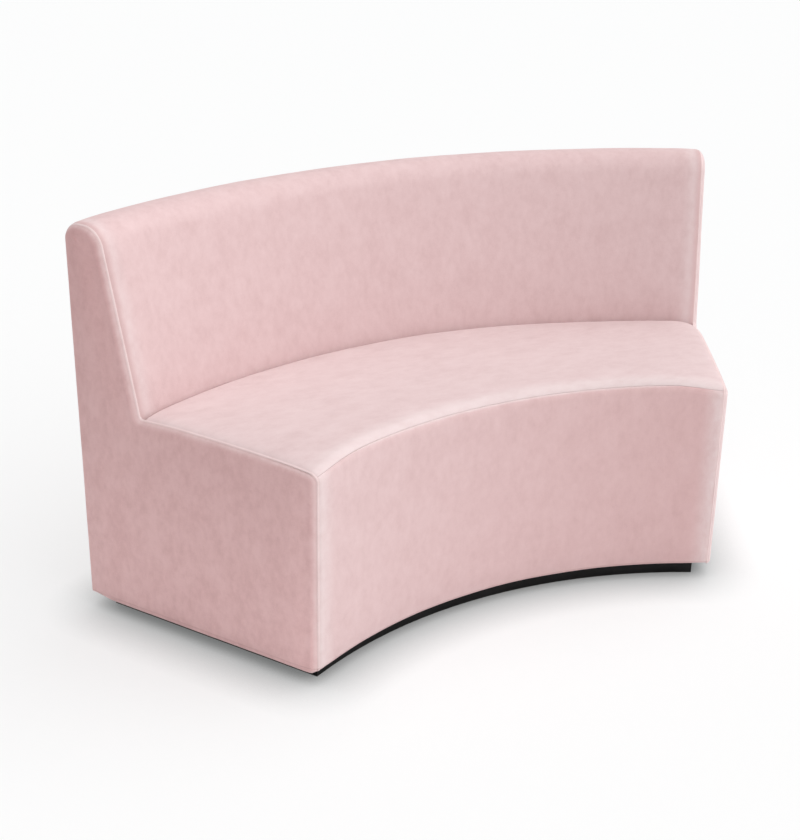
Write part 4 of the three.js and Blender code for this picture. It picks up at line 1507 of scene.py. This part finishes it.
paint = Finish("satin black paint", Roughness=0.4, Specular_IOR_Level=0.3)
clouds = paint.clouds(size=0.06, stretch=(1, 1, 0.3))
near_floor = changing(paint.tree, parts(paint.tree, paint.place)["Z"], 0, rubbed_height, rubbed_share, 0)
speck = calculate(paint.tree, "GREATER_THAN", calculate(
    paint.tree, "ADD", paint.clouds(size=0.0015), near_floor), speck_level)
paint_tone = color_ramp(paint.tree, clouds, [(0.3, paint_black), (0.7, paint_grey)])
feed(paint.tree, paint.surface["Base Color"], mixed(paint.tree, speck, paint_tone, rubbed_grey))
paint.roughness(clouds, least=0.34, most=0.5)
paint.bump(paint.clouds(size=0.004, stretch=(6, 6, 0.4)), depth=0.00015)
for name in ("front_rail", "rear_rail", "end_rail_left", "end_rail_right", "cross_rail_left",
             "cross_rail_right"):
    finish_node(f"plinth_{name}", paint, plinth_rounding)

corners = [f"{row}_{end}" for row in ("front", "rear") for end in ("left", "right")]
for corner in corners:
    finish_node(f"plinth_block_{corner}", flat_plywood, block_rounding)

# Plinth screws
# Zinc-plated countersunk screws, turned up through the blocks and the lining into the frame. The
# plating is slightly yellow and clouded.
screw_rounding = 0.0003
yellow_zinc = (0.50, 0.48, 0.42, 1)
clear_zinc = (0.68, 0.68, 0.66, 1)

zinc = Finish("zinc plated steel", Metallic=1.0, Roughness=0.32)
clouds = zinc.clouds(size=0.003)
zinc.color(clouds, (0.3, yellow_zinc), (0.7, clear_zinc))
zinc.roughness(clouds, least=0.25, most=0.42)
zinc.bump(clouds, depth=0.00005)
for corner in corners:
    finish_node(f"plinth_screw_{corner}", zinc, screw_rounding)

# Room
# A plain white floor that runs out of the picture on every side and keeps the sofa's soft shadow.
# It is painted darker close to the sofa as a contact shadow, and it and this painted shadow are
# tinted a little cyan against the pink light that the sofa throws on them. It glows a little for
# the camera alone, so that it looks white.
floor_reach = 30
floor_white = 0.975
floor_glow = 0.55
contact_shadow_reach = 0.12
contact_shadow_dark = (0.19, 0.195, 0.195, 1)
contact_shadow_grey = (0.64, 0.648, 0.648, 1)
floor_paint = (0.905, 0.911, 0.911)

floor_mesh = bpy.data.meshes.new("floor")
floor_mesh.from_pydata(
    [(-floor_reach, -floor_reach, 0), (floor_reach, -floor_reach, 0),
     (floor_reach, floor_reach, 0), (-floor_reach, floor_reach, 0)], [], [(0, 1, 2, 3)])
floor = bpy.data.objects.new("floor", floor_mesh)
bpy.context.scene.collection.objects.link(floor)
white_floor = Finish("white floor", Roughness=0.9)
tree = white_floor.tree
# The painted contact shadow: darker where the sofa hides more of the room, as an occlusion node finds
open_share = add_node(
    tree, "ShaderNodeAmbientOcclusion", {"Distance": contact_shadow_reach}, samples=8).outputs["AO"]
painted_contact_shadow = color_ramp(tree, open_share, [(0, contact_shadow_dark), (0.5, contact_shadow_grey), (1, (1, 1, 1, 1))])
feed(tree, white_floor.surface["Base Color"], calculate_vector(
    tree, "MULTIPLY", painted_contact_shadow, floor_paint))
glow = add_node(tree, "ShaderNodeEmission", {"Color": painted_contact_shadow, "Strength": floor_white})
seen = add_node(tree, "ShaderNodeLightPath").outputs["Is Camera Ray"]
painted, glowing = 1, 2
blend = add_node(tree, "ShaderNodeMixShader", {
    "Fac": calculate(tree, "MULTIPLY", seen, floor_glow),
    painted: tree.nodes["Principled BSDF"].outputs["BSDF"],
    glowing: glow.outputs["Emission"]})
feed(tree, tree.nodes["Material Output"].inputs["Surface"], blend.outputs["Shader"])
floor_mesh.materials.append(white_floor.material)

# Light
# A white room, and one large soft light high up at the right in front, far enough away to fall
# evenly over the whole floor.
room_level = 0.50
room_lean = 0.17
key_level = 2.2
key_softness = math.radians(100)
key_direction = Vector((0.278, -0.239, 0.60))

world = bpy.data.worlds.new("white room")
world.use_nodes = True
tree = world.node_tree
seen = add_node(tree, "ShaderNodeLightPath").outputs["Is Camera Ray"]
toward = parts(tree, add_node(tree, "ShaderNodeTexCoord").outputs["Generated"])["X"]
lit = calculate(tree, "MULTIPLY_ADD", toward, room_lean, room_level)
level = calculate(tree, "MULTIPLY_ADD", seen, calculate(tree, "SUBTRACT", 1.0, lit), lit)
background = tree.nodes["Background"].inputs
feed(tree, background["Color"], (1, 1, 1, 1))
feed(tree, background["Strength"], level)
bpy.context.scene.world = world

key_data = bpy.data.lights.new("key light", "SUN")
key_data.energy = key_level
key_data.angle = key_softness
key_light = bpy.data.objects.new("key light", key_data)
key_light.matrix_world = key_direction.to_track_quat("Z", "Y").to_matrix().to_4x4()
bpy.context.scene.collection.objects.link(key_light)

bpy.context.scene.view_settings.view_transform = "Standard"
